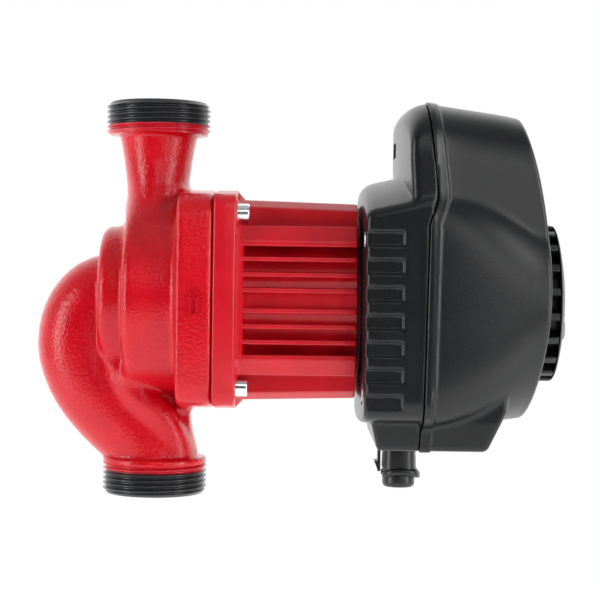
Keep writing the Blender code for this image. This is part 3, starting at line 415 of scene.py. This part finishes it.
PORT_FACE = 90
THREAD_RADIUS = 23.9
THREAD_LENGTH = 14.8
PITCH = 2.309
PORT_BORE = 15
FLANGE_SPAN = (12.0, 27.9)
FLANGE_HALF = (49.8, 45.6)
# each station is x, y, z and the pipe's radius there
INLET_LINE = (
    (0, 0, -74, 20), (-3, 0, -67, 20), (-9, 0, -60, 20), (-19, 0, -50, 20.5), (-28, 0, -38, 21),
    (-33, 0, -25, 21.3), (-32.5, 0, -14, 21.3), (-29, 0, -6, 21), (-23, 0, -1, 20.6), (-12, 0, 0, 20.4),
)
RIB_LINE = (
    (-18, 13.5, -20, 6.4), (-15.5, 15.5, -31, 6.6), (-8, 16.5, -42.6, 6.8), (0, 15.5, -50, 6.8),
    (6.4, 13, -59, 6.6), (9.6, 10, -68, 6.4), (10, 8, -75, 6.2),
)
INLET_PASSAGE = (
    (0, 0, -76, 14.5), (-3, 0, -68, 14.4), (-10, 0, -58.5, 14.4), (-19, 0, -48.5, 14.6), (-27, 0, -37, 15),
    (-32, 0, -25, 15.2), (-31.5, 0, -14, 15), (-28, 0, -6, 14.8), (-22, 0, -1, 14.4), (-10, 0, 0, 13.6),
)


def bulged_square(y, z, middle, corner, k):
    """A square with bulging sides. Its half width is middle at mid side and corner near its corners."""
    bulge = (middle - corner) / corner ** 2
    return smax(np.abs(y) + bulge * z * z - middle, np.abs(z) + bulge * y * y - middle, k)


def outlet_neck(x, y, z):
    """The oval neck from the volute up to the outlet, flat at its foot and round at the port."""
    high = np.clip(z, 30, 76)
    half_x = np.interp(high, (30, 42, 52, 63, 72, 76), (13.5, 13.8, 14.2, 15.6, 17.2, 18.2))
    half_y = np.interp(high, (30, 42, 52, 63, 76), (26, 23, 19.5, 17.5, 18.2))
    neck = (np.hypot(x / half_x, y / half_y) - 1) * np.minimum(half_x, half_y)
    return np.maximum(np.maximum(neck, 20 - z), z - 82)


def water_space(x, y, z):
    """The passages and the impeller's chamber, which the casting is hollowed by."""
    r, s = np.hypot(y, z), np.hypot(x, y)
    half_x = np.interp(z, (30, 52, 70), (8.5, 9.5, 15))
    half_y = np.interp(z, (30, 52, 70), (14, 13.5, 15))
    outlet = np.maximum((np.hypot(x / half_x, y / half_y) - 1) * half_x, 25 - z)
    inlet = np.minimum(sweep(x, y, z, INLET_PASSAGE), np.maximum(s - PORT_BORE, z + 70))
    return np.minimum(np.minimum(inlet, outlet), drum(x, r, -8, 40, 36, 2))


def casting(x, y, z):
    """The pump's housing in one piece, without the threads on its ports."""
    r, s = np.hypot(y, z), np.hypot(x, y)
    volute = smin(drum(x, r, -12.5, 15, 44.5, 4.2), drum(x, r, -24.5, -5, 32.8, 4.5), 3)
    body = smin(sweep(x, y, z, INLET_LINE), volute, 2.4)
    web = slab(x, y, z, (2, -9, -80), (16.4, 9, -40), 5)
    body = smin(body, web, 4)
    body = smin(body, sweep(x, np.abs(y), z, RIB_LINE), 4)
    body = smin(body, outlet_neck(x, y, z), 6)
    upper_collar = drum(z, s, 75.0, 88, 22.3, 0.8)
    body = smin(body, upper_collar, 2)
    thickness = np.abs(x - sum(FLANGE_SPAN) / 2) - (FLANGE_SPAN[1] - FLANGE_SPAN[0]) / 2
    body = smin(body, smax(bulged_square(y, z, *FLANGE_HALF, 9), thickness, 2.6), 4.5)
    lower_collar = drum(z, s, -88, -73.2, 23.8, 1.0)
    body = smin(body, lower_collar, 1.2)
    # past the collars only the core is left, because the threads on it are pieces of their own
    thread_core = drum(z, s, -88, 88, 21.6, 0.5) + np.maximum(76 - np.abs(z), 0) * 4
    body = np.minimum(np.maximum(body, np.abs(z) - 76.5), thread_core)
    return smax(body, -water_space(x, y, z), 1)


ARROW_AT = (20.2, -0.7)
ARROW_FOOT = -49.0
ARROW_SHOULDER = -50.5
ARROW_FACE = -50.7


def flow_arrow():
    """The outline arrow that stands on the flange's near side and points along the flow."""
    def outline(shrink, y):
        """The arrow's outer edge at shrink 0, and its inner edge at shrink 1."""
        head, shaft = 3.3 - 1.2 * shrink, 1.7 - 0.75 * shrink
        low, neck, tip = -6 + 0.8 * shrink, 1.2 + 0.6 * shrink, 6.1 - 1.35 * shrink
        corners = [(shaft, low), (shaft, neck), (head, neck), (0, tip)]
        corners += [(-a, b) for a, b in corners[-2::-1]]
        return [(ARROW_AT[0] + a, y, b + ARROW_AT[1]) for a, b in corners]

    rings = [outline(0, ARROW_FOOT), outline(0, ARROW_SHOULDER), outline(0.2, ARROW_FACE),
             outline(0.9, ARROW_FACE), outline(1.1, ARROW_SHOULDER), outline(1.1, ARROW_FOOT)]
    return loft_mesh("flow_arrow", rings, closed=True)


def thread_mesh(name, end):
    """A port's thread, from its face (end is 1 at the top, -1 at the bottom), as a closed tube."""
    steps = 160
    turns = np.arange(steps) / steps * TAU
    depths = np.concatenate([[0], np.linspace(0.0, THREAD_LENGTH, 112), [THREAD_LENGTH]])
    rings = []
    for i, depth in enumerate(depths):
        z = end * (PORT_FACE - depth)
        phase = (z / PITCH - turns / TAU) % 1.0
        tooth = np.clip(0.5 + 1.25 * (0.5 - np.abs(2 * phase - 1)), 0.04, 0.93)
        radius = THREAD_RADIUS - 1.4 + 1.5 * tooth
        # the chamfer at the port's face, and the plain run-out at the thread's end
        radius = np.minimum(radius, THREAD_RADIUS - 1.9 + depth * 0.9)
        radius = np.where(depth > 14, np.minimum(radius, 22.8), radius)
        if i in (0, len(depths) - 1):
            radius = np.full(steps, PORT_BORE + 0.2)
        rings.append(np.stack([radius * np.cos(turns), radius * np.sin(turns), np.full(steps, z)], 1))
    return loft_mesh(name, rings, closed=True)


def make_pump():
    mesh = field_mesh("casting", casting, (-57, -52, -90), (29.5, 52, 90), 1.0)
    housing = piece("pump_casting", mesh, CAST_RED)
    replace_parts(housing, "pump_housing")
    piece("flow_arrow", flow_arrow(), CAST_RED, crease=40)
    piece("outlet_thread", thread_mesh("outlet_thread", 1), THREAD, crease=60)
    piece("inlet_thread", thread_mesh("inlet_thread", -1), THREAD, crease=60)


# Motor housing

MOTOR_FLANGE = (28.2, 38.2)
MOTOR_REAR = 91.4
FIN_CENTRES = (4.5, 11.4, 18.2)
FIN_HALF = 1.15
CORNER_RIB = (23.7, 26.2)
NOTCH = 32.8
# the fins' tips at the flange and at the rear, and the radius of the wall between the fins
MOTOR_TIP = (44.7, 43.3)
MOTOR_WALL = 40.4
SHELF_DROP = 3.2
GROOVE_FADE = 2.6
REAR_ROUND = 0.8
FLANGE_MIDDLE = 49.8
FLANGE_CORNER = 45.8
FLANGE_ROUND = 6.0


def four_sides(x, quarter):
    """A closed ring at x, from one side's (out, along) points turned to all four sides."""
    ring = []
    for turn in range(4):
        c, s = round(math.cos(turn * math.pi / 2)), round(math.sin(turn * math.pi / 2))
        ring += [(x, a * c - b * s, a * s + b * c) for a, b in quarter]
    return ring


def fin_outline(tip, depth):
    """Half of one finned side as (out, along) points. depth runs from 0, no grooves, to 1, full."""
    def floor(along):
        wall = math.sqrt(max(MOTOR_WALL ** 2 - along ** 2, 0))
        return wall + (tip - 0.6 - wall) * (1 - depth)

    def flank(edge, way):
        """From a groove's floor up a fin's side to its flat tip. way is 1 or -1, towards the fin."""
        return [(floor(edge - 0.75 * way), edge - 0.75 * way), (floor(edge - 0.2 * way), edge - 0.2 * way),
                (floor(edge) + 0.7, edge + 0.06 * way), (tip - 0.45, edge + 0.16 * way),
                (tip - 0.12, edge + 0.3 * way), (tip, edge + 0.6 * way)]

    half = []
    for centre in FIN_CENTRES:
        half += flank(centre - FIN_HALF, 1) + flank(centre + FIN_HALF, -1)[::-1]
    half += flank(CORNER_RIB[0], 1)
    shelf = tip - SHELF_DROP * depth
    half += [(tip, CORNER_RIB[1]), (tip - 0.3 * depth, CORNER_RIB[1] + 0.5), (shelf + 0.35, NOTCH - 0.9),
             (shelf, NOTCH - 0.4), (shelf - 0.5, NOTCH)]
    inner = NOTCH + (tip - 3.6 - NOTCH) * (1 - depth) ** 2
    half += [(shelf - (shelf - inner) * t, inner) for t in (0.2, 0.5, 0.85)]
    half += [(inner + 0.25, inner + 0.05)]
    return half


def motor_ring(x):
    """The finned section at x. The grooves fade out just behind the flange, and the rear edge is rounded."""
    share = (x - MOTOR_FLANGE[1]) / (MOTOR_REAR - MOTOR_FLANGE[1])
    tip = MOTOR_TIP[0] + (MOTOR_TIP[1] - MOTOR_TIP[0]) * share
    fade = min(1.0, max(0.0, 1 - (x - MOTOR_FLANGE[1]) / GROOVE_FADE))
    rear = max(0.0, (x - MOTOR_REAR + REAR_ROUND) / REAR_ROUND)
    half = fin_outline(tip - 0.5 * rear ** 2, 1 - fade ** 2)
    return four_sides(x, [(a, -b) for a, b in half[::-1]] + half)


def flange_ring(x, inset):
    """The bulged square's outline at x, drawn in by inset, with rounded corners."""
    reach = FLANGE_CORNER - FLANGE_ROUND
    bulge = FLANGE_MIDDLE - FLANGE_CORNER
    quarter = [(FLANGE_MIDDLE - bulge * (along / FLANGE_CORNER) ** 2, along)
               for along in np.linspace(-reach, reach, 19)]
    start = np.array(quarter[-1])
    end, tip = start[::-1], np.full(2, FLANGE_CORNER + 0.9)
    for t in np.linspace(0, 1, 8)[1:-1]:
        quarter.append(tuple((1 - t) ** 2 * start + 2 * t * (1 - t) * tip + t * t * end))
    drawn_in = []
    for a, b in quarter:
        keep = 1 - inset / math.hypot(a, b)
        drawn_in.append((a * keep, b * keep))
    return four_sides(x, drawn_in)


def make_motor():
    low, high = MOTOR_FLANGE
    stations = [high - 0.5, high + 0.1, high + 0.5, high + 1.0, high + 1.6, high + 2.2,
                high + GROOVE_FADE, high + 4, 60, 75,
                MOTOR_REAR - REAR_ROUND, MOTOR_REAR - 0.4, MOTOR_REAR - 0.15, MOTOR_REAR]
    body = loft_mesh("motor_body", [motor_ring(x) for x in stations])
    motor = piece("motor_body", body, MOTOR_RED, crease=38)
    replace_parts(motor, "motor_housing")
    profile = [(low, 1.0), (low + 0.3, 0.35), (low + 0.9, 0.0), (high - 1.1, 0.0), (high - 0.7, 0.12),
               (high - 0.25, 0.5), (high, 1.1)]
    flange = loft_mesh("motor_flange", [flange_ring(x, inset) for x, inset in profile])
    piece("motor_flange", flange, MOTOR_RED, crease=45)
    # the low step between the flange and the fins, an octagon that leaves room for the screws' heads
    shoulder = [four_sides(x, [(half, -wide), (half, wide)])
                for x, half, wide in ((high - 0.6, 47.9, 26.2), (high + 0.3, 47.7, 26),
                                      (high + 2.8, 45.3, 25.6), (high + 3.4, 43.4, 25.4))]
    piece("motor_shoulder", loft_mesh("motor_shoulder", shoulder), MOTOR_RED, crease=30)
    profile = softened_loop([(30, 91.5), (37.2, 91.5, 0.5), (37.2, 93.6, 0.5), (30, 93.6)], 0.4)
    # the seal takes the darkened red, painted shade in the recess behind the fins
    seal = piece("motor_end_seal", ring_mesh("motor_end_seal", profile), SHADED_SEAL_RED, crease=45)
    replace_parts(seal, "motor_neck_seal")


SOCKET_HALF = 1.75


def socket_screw_mesh(name, at):
    """A smooth socket head screw. Its seat is at x = 0 of its place."""
    steps = 96
    turns = np.arange(steps) / steps * TAU
    hexagon = SOCKET_HALF / np.cos(turns % (TAU / 6) - TAU / 12)
    shank = [(-16, 0), (-16, 2.2), (-15.4, 2.5), (0, 2.5)]
    head = [(0, 3.9), (0.15, 4.1), (4.9, 4.1), (5.25, 4.0), (5.5, 3.75), (5.6, 3.4), (5.6, 2.5)]
    socket = [(5.45, hexagon * 1.08), (5.2, hexagon), (3, hexagon), (2.4, 0)]
    rings = []
    for x, radius in shank + head + socket:
        radius = np.broadcast_to(radius, steps)
        rings.append(np.stack([np.full(steps, x) + at[0], radius * np.cos(turns) + at[1],
                               radius * np.sin(turns) + at[2]], 1))
    return loft_mesh(name, rings, caps=False)


def make_screws():
    for number in range(1, 5):
        node = f"flange_screw_{number}"
        low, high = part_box(node)
        at = (MOTOR_FLANGE[1], (low[1] + high[1]) / 2 / MM, (low[2] + high[2]) / 2 / MM - AXIS_HEIGHT)
        name = f"socket_screw_{number}"
        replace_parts(piece(name, socket_screw_mesh(name, at), ZINC, crease=32), node)


# Control box

SEAM = 121.0
BAND = 5.0
BAND_PROUD = 0.6
SEAM_GAP = 0.15
BOX_REAR = 92.9
BOX_HALF = 60
COVER_SCREWS = ((51, 27), (47, -40))
WELL_RADIUS = 4.3
POCKET_HEIGHTS = (27.4, 15.4, 3.6, -8.4, -20.0, -31.6, -43.0)
POCKET_AT = 102.9
POCKET_HALF = (7.9, 3.1)
POCKET_DEPTH = 1.2


def seam_at(z):
    """The parting line: up the side it steps forward at the shoulder and leans back to the top."""
    return np.interp(z, (-66, -50, 33.5, 35.5, 44.5, 47, 89),
                     (119.2, 120.2, 121.6, 122.2, 125.1, 125.3, 120.4))


def front_face(y, z):
    """The x of the box's shallow domed front."""
    return 177.2 - y * y / 1550 - (z - 8) ** 2 / 410


def side_wall(x, side):
    """How far a point is outside the rear collar's side, which draws in a little to the rear."""
    return side - BOX_HALF + np.maximum(112 - x, 0) * 0.045


def front_drum(x, side, z):
    """The cover's lower part: flat sided at the seam, round at the front."""
    t = np.clip((x - SEAM) / 54, 0, 1)
    round_off = t ** 1.7
    half = BOX_HALF - 7.6 * round_off
    top, bottom = 53.0 - 0.5 * round_off, -55.5 + 3.2 * round_off
    rise = (top - bottom) / 2
    power = 2.0 + 5.5 * (1 - t) ** 1.6
    up = np.abs(z - (top + bottom) / 2)
    spread = ((side / half) ** power + (up / rise) ** power) ** (1 / power)
    return np.maximum((spread - 1) * np.minimum(half, rise), SEAM - 2 - x)


def rear_collar(x, side, z):
    """The part around the motor's end: flat sides, an arched top and a bellied back."""
    crown = 53.3 + (x - 96) * 0.24 - side * side * 15.0 / 3600
    keel = -55.0 + side * side * 4.5 / 3600
    belly = BOX_REAR + side * side / 2200
    collar = smax(smax(side_wall(x, side), (z - crown) * 0.93, 3.2), keel - z, 9)
    return smax(np.maximum(collar, x - 123), belly - x, 3.0 + 3.5 * ramp(z, 34, 52))


def upper_block(x, side, z):
    """The taller part above the motor, which narrows to the front."""
    half = 58.6 - 14.6 * np.clip((x - 124) / 50, 0, 1) ** 0.75
    fall = np.clip(x - 121, 0, 60) * 0.118
    roof = 88.6 - fall - np.clip(x - 150, 0, 40) ** 2 * 0.0035 - side * side / 1500
    back = 109.2 + side * side * 3.6 / 3000 + np.maximum(62 - z, 0) * 0.06
    upper = smax(side - half, z - roof, 24)
    upper = smax(upper, back - x, 3.5 + 9 * ramp(z, 68, 86))
    return np.maximum(upper, 6 - z)


def terminal_block(x, side, z):
    """The block below, which slopes in to its underside."""
    rear_slope = 97.6 + np.maximum(-50 - z, 0) * 0.22
    front_slope = 157.5 - np.maximum(-47 - z, 0) * 0.47
    block = smax(smax(rear_slope - x, x - front_slope, 1), smax(-65.0 - z, z + 40, 1), 2.4)
    return smax(block, side - 47 + np.maximum(-52 - z, 0) * 0.12, 2.4)


def box_body(x, y, z):
    """The whole control box as one closed shape, before it is parted."""
    side = np.abs(y)
    whole = smin(front_drum(x, side, z), rear_collar(x, side, z), 0.8)
    whole = smin(whole, upper_block(x, side, z), 1.8)
    whole = smin(whole, terminal_block(x, side, z), 1.6)
    return smax(whole, x - front_face(y, z), 1.6)


def band(x, z, whole):
    """The raised lip along the cover's edge."""
    return smax(whole - BAND_PROUD, np.abs(x - seam_at(z) - BAND / 2) - BAND / 2, 0.5)


def rear_half(x, y, z):
    """The rear shell, with the pockets in its sides and the wells of the cover's screws."""
    whole = box_body(x, y, z)
    side = np.abs(y)
    wall = side_wall(x, side)
    for height in POCKET_HEIGHTS:
        pocket = smax(np.abs(x - POCKET_AT) - POCKET_HALF[0], np.abs(z - height) - POCKET_HALF[1], 1.2)
        whole = smax(whole, -smax(pocket, -POCKET_DEPTH - wall, 0.6), 0.9)
    for at_y, at_z in COVER_SCREWS:
        well = np.maximum(np.hypot(side - at_y, z - at_z) - WELL_RADIUS, x - 96.5)
        whole = smax(whole, -well, 0.3)
    # a shallow slot in the upper block's back
    slot = np.maximum(np.maximum(side - 9, np.abs(z - 69.5) - 3.5), np.abs(x - 109) - 2.4)
    whole = smax(whole, -slot, 0.4)
    return smax(whole, x - seam_at(z) + SEAM_GAP, 0.5)


def front_half(x, y, z):
    """The front cover, with its raised lip and the round opening that holds the vent ring."""
    whole = box_body(x, y, z)
    whole = np.minimum(whole, band(x, z, whole))
    r = np.hypot(y, z)
    recess = np.maximum(r - 37.3, 173.5 - x)
    hole = np.maximum(r - 31.2, 160 - x)
    whole = smax(whole, -np.minimum(recess, hole), 0.6)
    return smax(whole, seam_at(z) + SEAM_GAP - x, 0.5)


def make_box():
    rear = field_mesh("rear_shell", rear_half, (91, -65, -68), (127, 65, 91), 0.8)
    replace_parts(piece("rear_housing", rear, BLACK), "rear_shell")
    front = field_mesh("front_cover", front_half, (117, -65, -68), (179, 65, 91), 0.8)
    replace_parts(piece("front_housing", front, BLACK), "front_cover")


# Vent ring and control panel

DISC_FRONT = 187.8
DISC_SAG = 5.2
DISC_RADIUS = 36.0
BUTTON_RADIUS = 5.0
BUTTON_REAR = 170.0
BUTTON_PROUD = 0.4
BUTTONS = {"button_up": (0, -13), "button_down": (-13.5, -11.5), "button_mode": (13.5, -11.5)}
WINDOW_HALF = (13.3, 4.8)
WINDOW_HEIGHT = 10.5
WINDOW_CORNER = 2
GLASS_CORNER = 1.6
VENT_RIBS = 20
# each station of a rib is its distance off the axis, its half width, and where it starts and ends along X
RIB_STATIONS = ((29.0, 1.55, 175.6, 181.9), (34.8, 1.75, 175.6, 181.9),
                (35.7, 1.7, 175.8, 181.7), (36.1, 1.4, 176.1, 181.4))


def make_vent():
    """The ring behind the panel's disc, and the ribs around it that the air passes between."""
    profile = softened_loop([(27.6, 181.6), (29.6, 181.6, 0.3), (29.8, 176.2, 0.3), (36.3, 176.0, 0.5),
                             (36.9, 175.3, 0.3), (36.9, 173.7, 0.3), (30.7, 173.6, 0.3),
                             (30.7, 166.5, 0.3), (27.6, 166.5, 0.3)], 0.3)
    base = piece("vent_base", ring_mesh("vent_base", profile), BLACK_SMOOTH, crease=45)
    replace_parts(base, "vent_ring")
    for i in range(VENT_RIBS):
        angle = (i + 0.5) / VENT_RIBS * TAU
        rings = []
        for radius, half, low, high in RIB_STATIONS:
            corners = [(low, -half), (high - 0.3, -half), (high, -half + 0.3), (high, half - 0.3),
                       (high - 0.3, half), (low, half)]
            rings.append([(x, radius * math.cos(angle) - w * math.sin(angle),
                           radius * math.sin(angle) + w * math.cos(angle)) for x, w in corners])
        piece(f"vent_rib_{i + 1}", loft_mesh("vent_rib", rings), BLACK_SMOOTH, crease=35)


def dome_x(radius):
    return DISC_FRONT - DISC_SAG * (radius / DISC_RADIUS) ** 2


def window_gap(y, z):
    """The distance to the window's rounded outline."""
    qy = np.abs(y) - WINDOW_HALF[0] + WINDOW_CORNER
    qz = np.abs(z - WINDOW_HEIGHT) - WINDOW_HALF[1] + WINDOW_CORNER
    return np.hypot(np.maximum(qy, 0), np.maximum(qz, 0)) + np.minimum(np.maximum(qy, qz), 0) - WINDOW_CORNER


def panel(x, y, z):
    """The domed disc with its window, button holes and a shallow ring groove, on a short barrel."""
    r = np.hypot(y, z)
    face = dome_x(r)
    disc = smax(smax(r - DISC_RADIUS, x - face, 0.9), np.maximum(face - 2.4, 182.1) - x, 0.3)
    barrel = np.maximum(np.abs(r - 25.5) - 1.1, np.abs(x - 176.3) - 6.3)
    whole = np.minimum(disc, barrel)
    groove = np.maximum(np.abs(r - 31.5) - 0.35, face - 0.35 - x)
    whole = smax(whole, -groove, 0.2)
    whole = smax(whole, -window_gap(y, z), 0.5)
    for at_y, at_z in BUTTONS.values():
        whole = smax(whole, BUTTON_RADIUS + 0.3 - np.hypot(y - at_y, z - at_z), 0.4)
    return whole


def glass_ring(x, inset):
    """The window's outline at x, drawn in by inset."""
    half_y, half_z = (half - inset - GLASS_CORNER for half in WINDOW_HALF)
    ring = []
    for cy, cz, start in ((1, 1, 0), (-1, 1, 90), (-1, -1, 180), (1, -1, 270)):
        for angle in np.radians(np.linspace(start, start + 90, 7)):
            ring.append((x, cy * half_y + GLASS_CORNER * math.cos(angle),
                         WINDOW_HEIGHT + cz * half_z + GLASS_CORNER * math.sin(angle)))
    return ring


def make_panel():
    mesh = field_mesh("domed_panel", panel, (169, -37.2, -37.2), (189, 37.2, 37.2), 0.6)
    disc = piece("domed_panel", mesh, PANEL, crease=50)
    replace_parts(disc, "control_panel")
    levels = ((181.0, 0.8), (181.2, 0.4), (184.7, 0.4), (185.0, 0.6), (185.15, 1.0))
    mesh = loft_mesh("window_glass", [glass_ring(x, inset) for x, inset in levels])
    glass = piece("window_glass", mesh, WINDOW, crease=40)
    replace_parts(glass, "panel_lens")
    for node, (y, z) in BUTTONS.items():
        name = node.replace("button", "key")
        face = dome_x(math.hypot(y, z)) + BUTTON_PROUD - BUTTON_REAR
        profile = softened([(0, face - 0.3), (2.5, face - 0.25, 0.8), (4.1, face, 0.8),
                            (BUTTON_RADIUS, face - 0.6, 0.4), (BUTTON_RADIUS, 11, 0.1),
                            (6, 11, 0.2), (6, 9.6, 0.2), (2, 9.6, 0.1), (2, 0.9, 0.2), (0, 0.9)])
        key = lathe_mesh(name, profile, at=(BUTTON_REAR, y, z), steps=64)
        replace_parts(piece(name, key, BUTTON, body=node, crease=50), node)


# Plug

PLUG_X = 113.0
LATCH_RELIEF_X = 106.4
LATCH_RELIEF_HALF = 5.3
LATCH_HALF = 4.4


def oval_ring(z, half_x, half_y, at=PLUG_X, steps=64, sag=0.0):
    """A rounded rectangle around the plug, flat behind the latch. Its ends along X dip by sag."""
    ring = []
    for angle in np.arange(steps) / steps * TAU:
        c, v = math.cos(angle), math.sin(angle)
        round_off = (abs(c) ** 2.6 + abs(v) ** 2.6) ** (-1 / 2.6)
        x, y = at + half_x * c * round_off, half_y * v * round_off
        if abs(y) < LATCH_RELIEF_HALF:
            x = max(x, LATCH_RELIEF_X)
        ring.append((x, y, z - sag * abs(c * round_off) ** 2))
    return ring


def make_plug():
    levels = [(-59.5, 5.0, 5.0), (-64.6, 5.0, 5.0), (-64.8, 6.9, 7.4), (-65.4, 7.6, 9.4), (-66.4, 7.9, 9.8),
              (-70, 8.0, 9.9), (-75, 8.2, 10), (-77.0, 8.3, 10)]
    rings = [oval_ring(*level) for level in levels]
    foot = [(-76.6, 8.7, 10.5), (-76.9, 9.0, 10.8), (-77.3, 9.2, 11), (-79.0, 9.2, 11), (-79.4, 9.0, 10.8),
            (-79.6, 8.4, 10.2), (-79.6, 6.0, 7.0)]
    rings += [oval_ring(z, half_x, half_y, at=PLUG_X + 0.9, sag=2.0) for z, half_x, half_y in foot]
    shell = piece("plug_shell", loft_mesh("plug_shell", rings), BLACK_SMOOTH, crease=40)
    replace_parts(shell, "plug_body")
    profile = softened([(0, -79.9), (7.4, -79.9, 0.3), (7.5, -84.6, 0.7), (6.5, -85.9, 0.6),
                        (4.4, -86.0, 0.3), (4.2, -85.5, 0.3), (0, -85.5)])
    cap = piece("cable_cap", lathe_mesh("cable_cap", profile, along="Z", at=(PLUG_X + 0.2, 0, 0)),
                BLACK_SMOOTH, crease=45)
    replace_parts(cap, "plug_cap")
    side = softened_loop([(103.3, -66.9), (104.6, -66.9, 0.2), (104.6, -78.6, 0.4), (103.3, -78.6, 0.4),
                          (103.3, -77.9, 0.1), (101.7, -74.0, 0.25), (103.3, -73.8, 0.1)], 0.2)
    mesh = loft_mesh("latch_tongue", [[(x, y, z) for x, z in side] for y in (-LATCH_HALF, LATCH_HALF)])
    latch = piece("latch_tongue", mesh, BLACK_SMOOTH, body="latch", crease=35)
    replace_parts(latch, "plug_latch")


# Camera, light and floor

CAMERA_LENS = 96.98
CAMERA_AT = (0.0664, -0.75, 0.100)
CAMERA_AIM = (0.0664, 0.0, 0.0899)
CAMERA_ROLL = 0.8
FLOOR_RADIUS = 1500
FLOOR_HEIGHTS = (-400.0, -404.0)


def make_camera():
    data = bpy.data.cameras.new("camera")
    data.lens = CAMERA_LENS
    data.sensor_width = 36.0
    data.clip_start = 0.01
    camera = bpy.data.objects.new("camera", data)
    bpy.context.scene.collection.objects.link(camera)
    look = (Vector(CAMERA_AIM) - Vector(CAMERA_AT)).to_track_quat("-Z", "Y")
    camera.location = CAMERA_AT
    camera.rotation_mode = "QUATERNION"
    camera.rotation_quaternion = look @ Quaternion((0, 0, 1), math.radians(CAMERA_ROLL))
    bpy.context.scene.camera = camera


def area_light(name, at, aim, size, watts):
    data = bpy.data.lights.new(name, "AREA")
    data.shape = "RECTANGLE"
    data.size, data.size_y = size
    data.energy = watts
    light = bpy.data.objects.new(name, data)
    light.location = at
    light.rotation_mode = "QUATERNION"
    light.rotation_quaternion = (Vector(aim) - Vector(at)).to_track_quat("-Z", "Y")
    bpy.context.scene.collection.objects.link(light)


def make_studio():
    """Soft light from behind and above, four area lights, and a white backdrop for the camera."""
    world = bpy.data.worlds.new("studio")
    bpy.context.scene.world = world
    world.use_nodes = True
    nodes, links = world.node_tree.nodes, world.node_tree.links
    seen = nodes["Background"]
    seen.inputs["Color"].default_value = (1, 1, 1, 1)
    seen.inputs["Strength"].default_value = 1.0
    place = nodes.new("ShaderNodeTexCoord")
    split = nodes.new("ShaderNodeSeparateXYZ")
    links.new(place.outputs["Generated"], split.inputs["Vector"])

    def mapped(socket, low, high, to_low, to_high):
        step = nodes.new("ShaderNodeMapRange")
        step.interpolation_type = "SMOOTHSTEP"
        for key, value in (("From Min", low), ("From Max", high), ("To Min", to_low), ("To Max", to_high)):
            step.inputs[key].default_value = value
        links.new(split.outputs[socket], step.inputs["Value"])
        return step.outputs["Result"]

    def largest(a, b):
        node = nodes.new("ShaderNodeMath")
        node.operation = "MAXIMUM"
        links.new(a, node.inputs[0])
        links.new(b, node.inputs[1])
        return node.outputs["Value"]

    around = mapped("Y", -0.2, 0.7, 0.02, 2.0)
    below = mapped("Z", -0.6, -0.15, 0.16, 0.0)
    above = mapped("Z", 0.5, 0.95, 0.0, 0.7)
    lighting = nodes.new("ShaderNodeBackground")
    links.new(largest(largest(around, below), above), lighting.inputs["Strength"])
    path = nodes.new("ShaderNodeLightPath")
    mix = nodes.new("ShaderNodeMixShader")
    links.new(path.outputs["Is Camera Ray"], mix.inputs["Fac"])
    links.new(lighting.outputs["Background"], mix.inputs[1])
    links.new(seen.outputs["Background"], mix.inputs[2])
    links.new(mix.outputs["Shader"], nodes["World Output"].inputs["Surface"])
    bpy.context.scene.view_settings.view_transform = "Standard"
    area_light("left_box", (-1.15, -0.55, 0.25), (0, 0, 0.09), (0.35, 1.0), 10)
    area_light("right_box", (1.3, -0.6, 0.3), (0.12, 0, 0.09), (0.4, 1.0), 11)
    area_light("front_box", (0.25, -1.6, 0.9), (0.07, 0, 0.09), (0.7, 0.5), 3.0)
    area_light("shine_box", (0.85, -1.25, 0.35), (0.14, 0, 0.10), (0.22, 0.6), 2.6)


def make_floor():
    turns = np.arange(64) / 64 * TAU
    floor = loft_mesh("floor", [[(FLOOR_RADIUS * math.cos(a), FLOOR_RADIUS * math.sin(a), z) for a in turns]
                                for z in FLOOR_HEIGHTS])
    obj = bpy.data.objects.new("floor", floor)
    bpy.context.scene.collection.objects.link(obj)
    material = surface("floor_white", (0.86, 0.86, 0.86), (0.84, 0.84, 0.84), 0.9, ((20, 0.02),))
    glow = material.node_tree.nodes["Principled BSDF"]
    glow.inputs["Emission Color"].default_value = (1, 1, 1, 1)
    glow.inputs["Emission Strength"].default_value = 0.5
    floor.materials.append(material)


def main():
    make_camera()
    make_studio()
    make_floor()
    # every CAD solid gets its material here, also those that no finer piece replaces
    for entry in frame["record"]["subparts"]:
        node = frame["nodes"][entry["node"]]
        node.data.materials.clear()
        node.data.materials.append(SLOT_MATERIALS[entry["material_slot"]])
    make_pump()
    make_motor()
    make_screws()
    make_box()
    make_vent()
    make_panel()
    make_plug()


main()
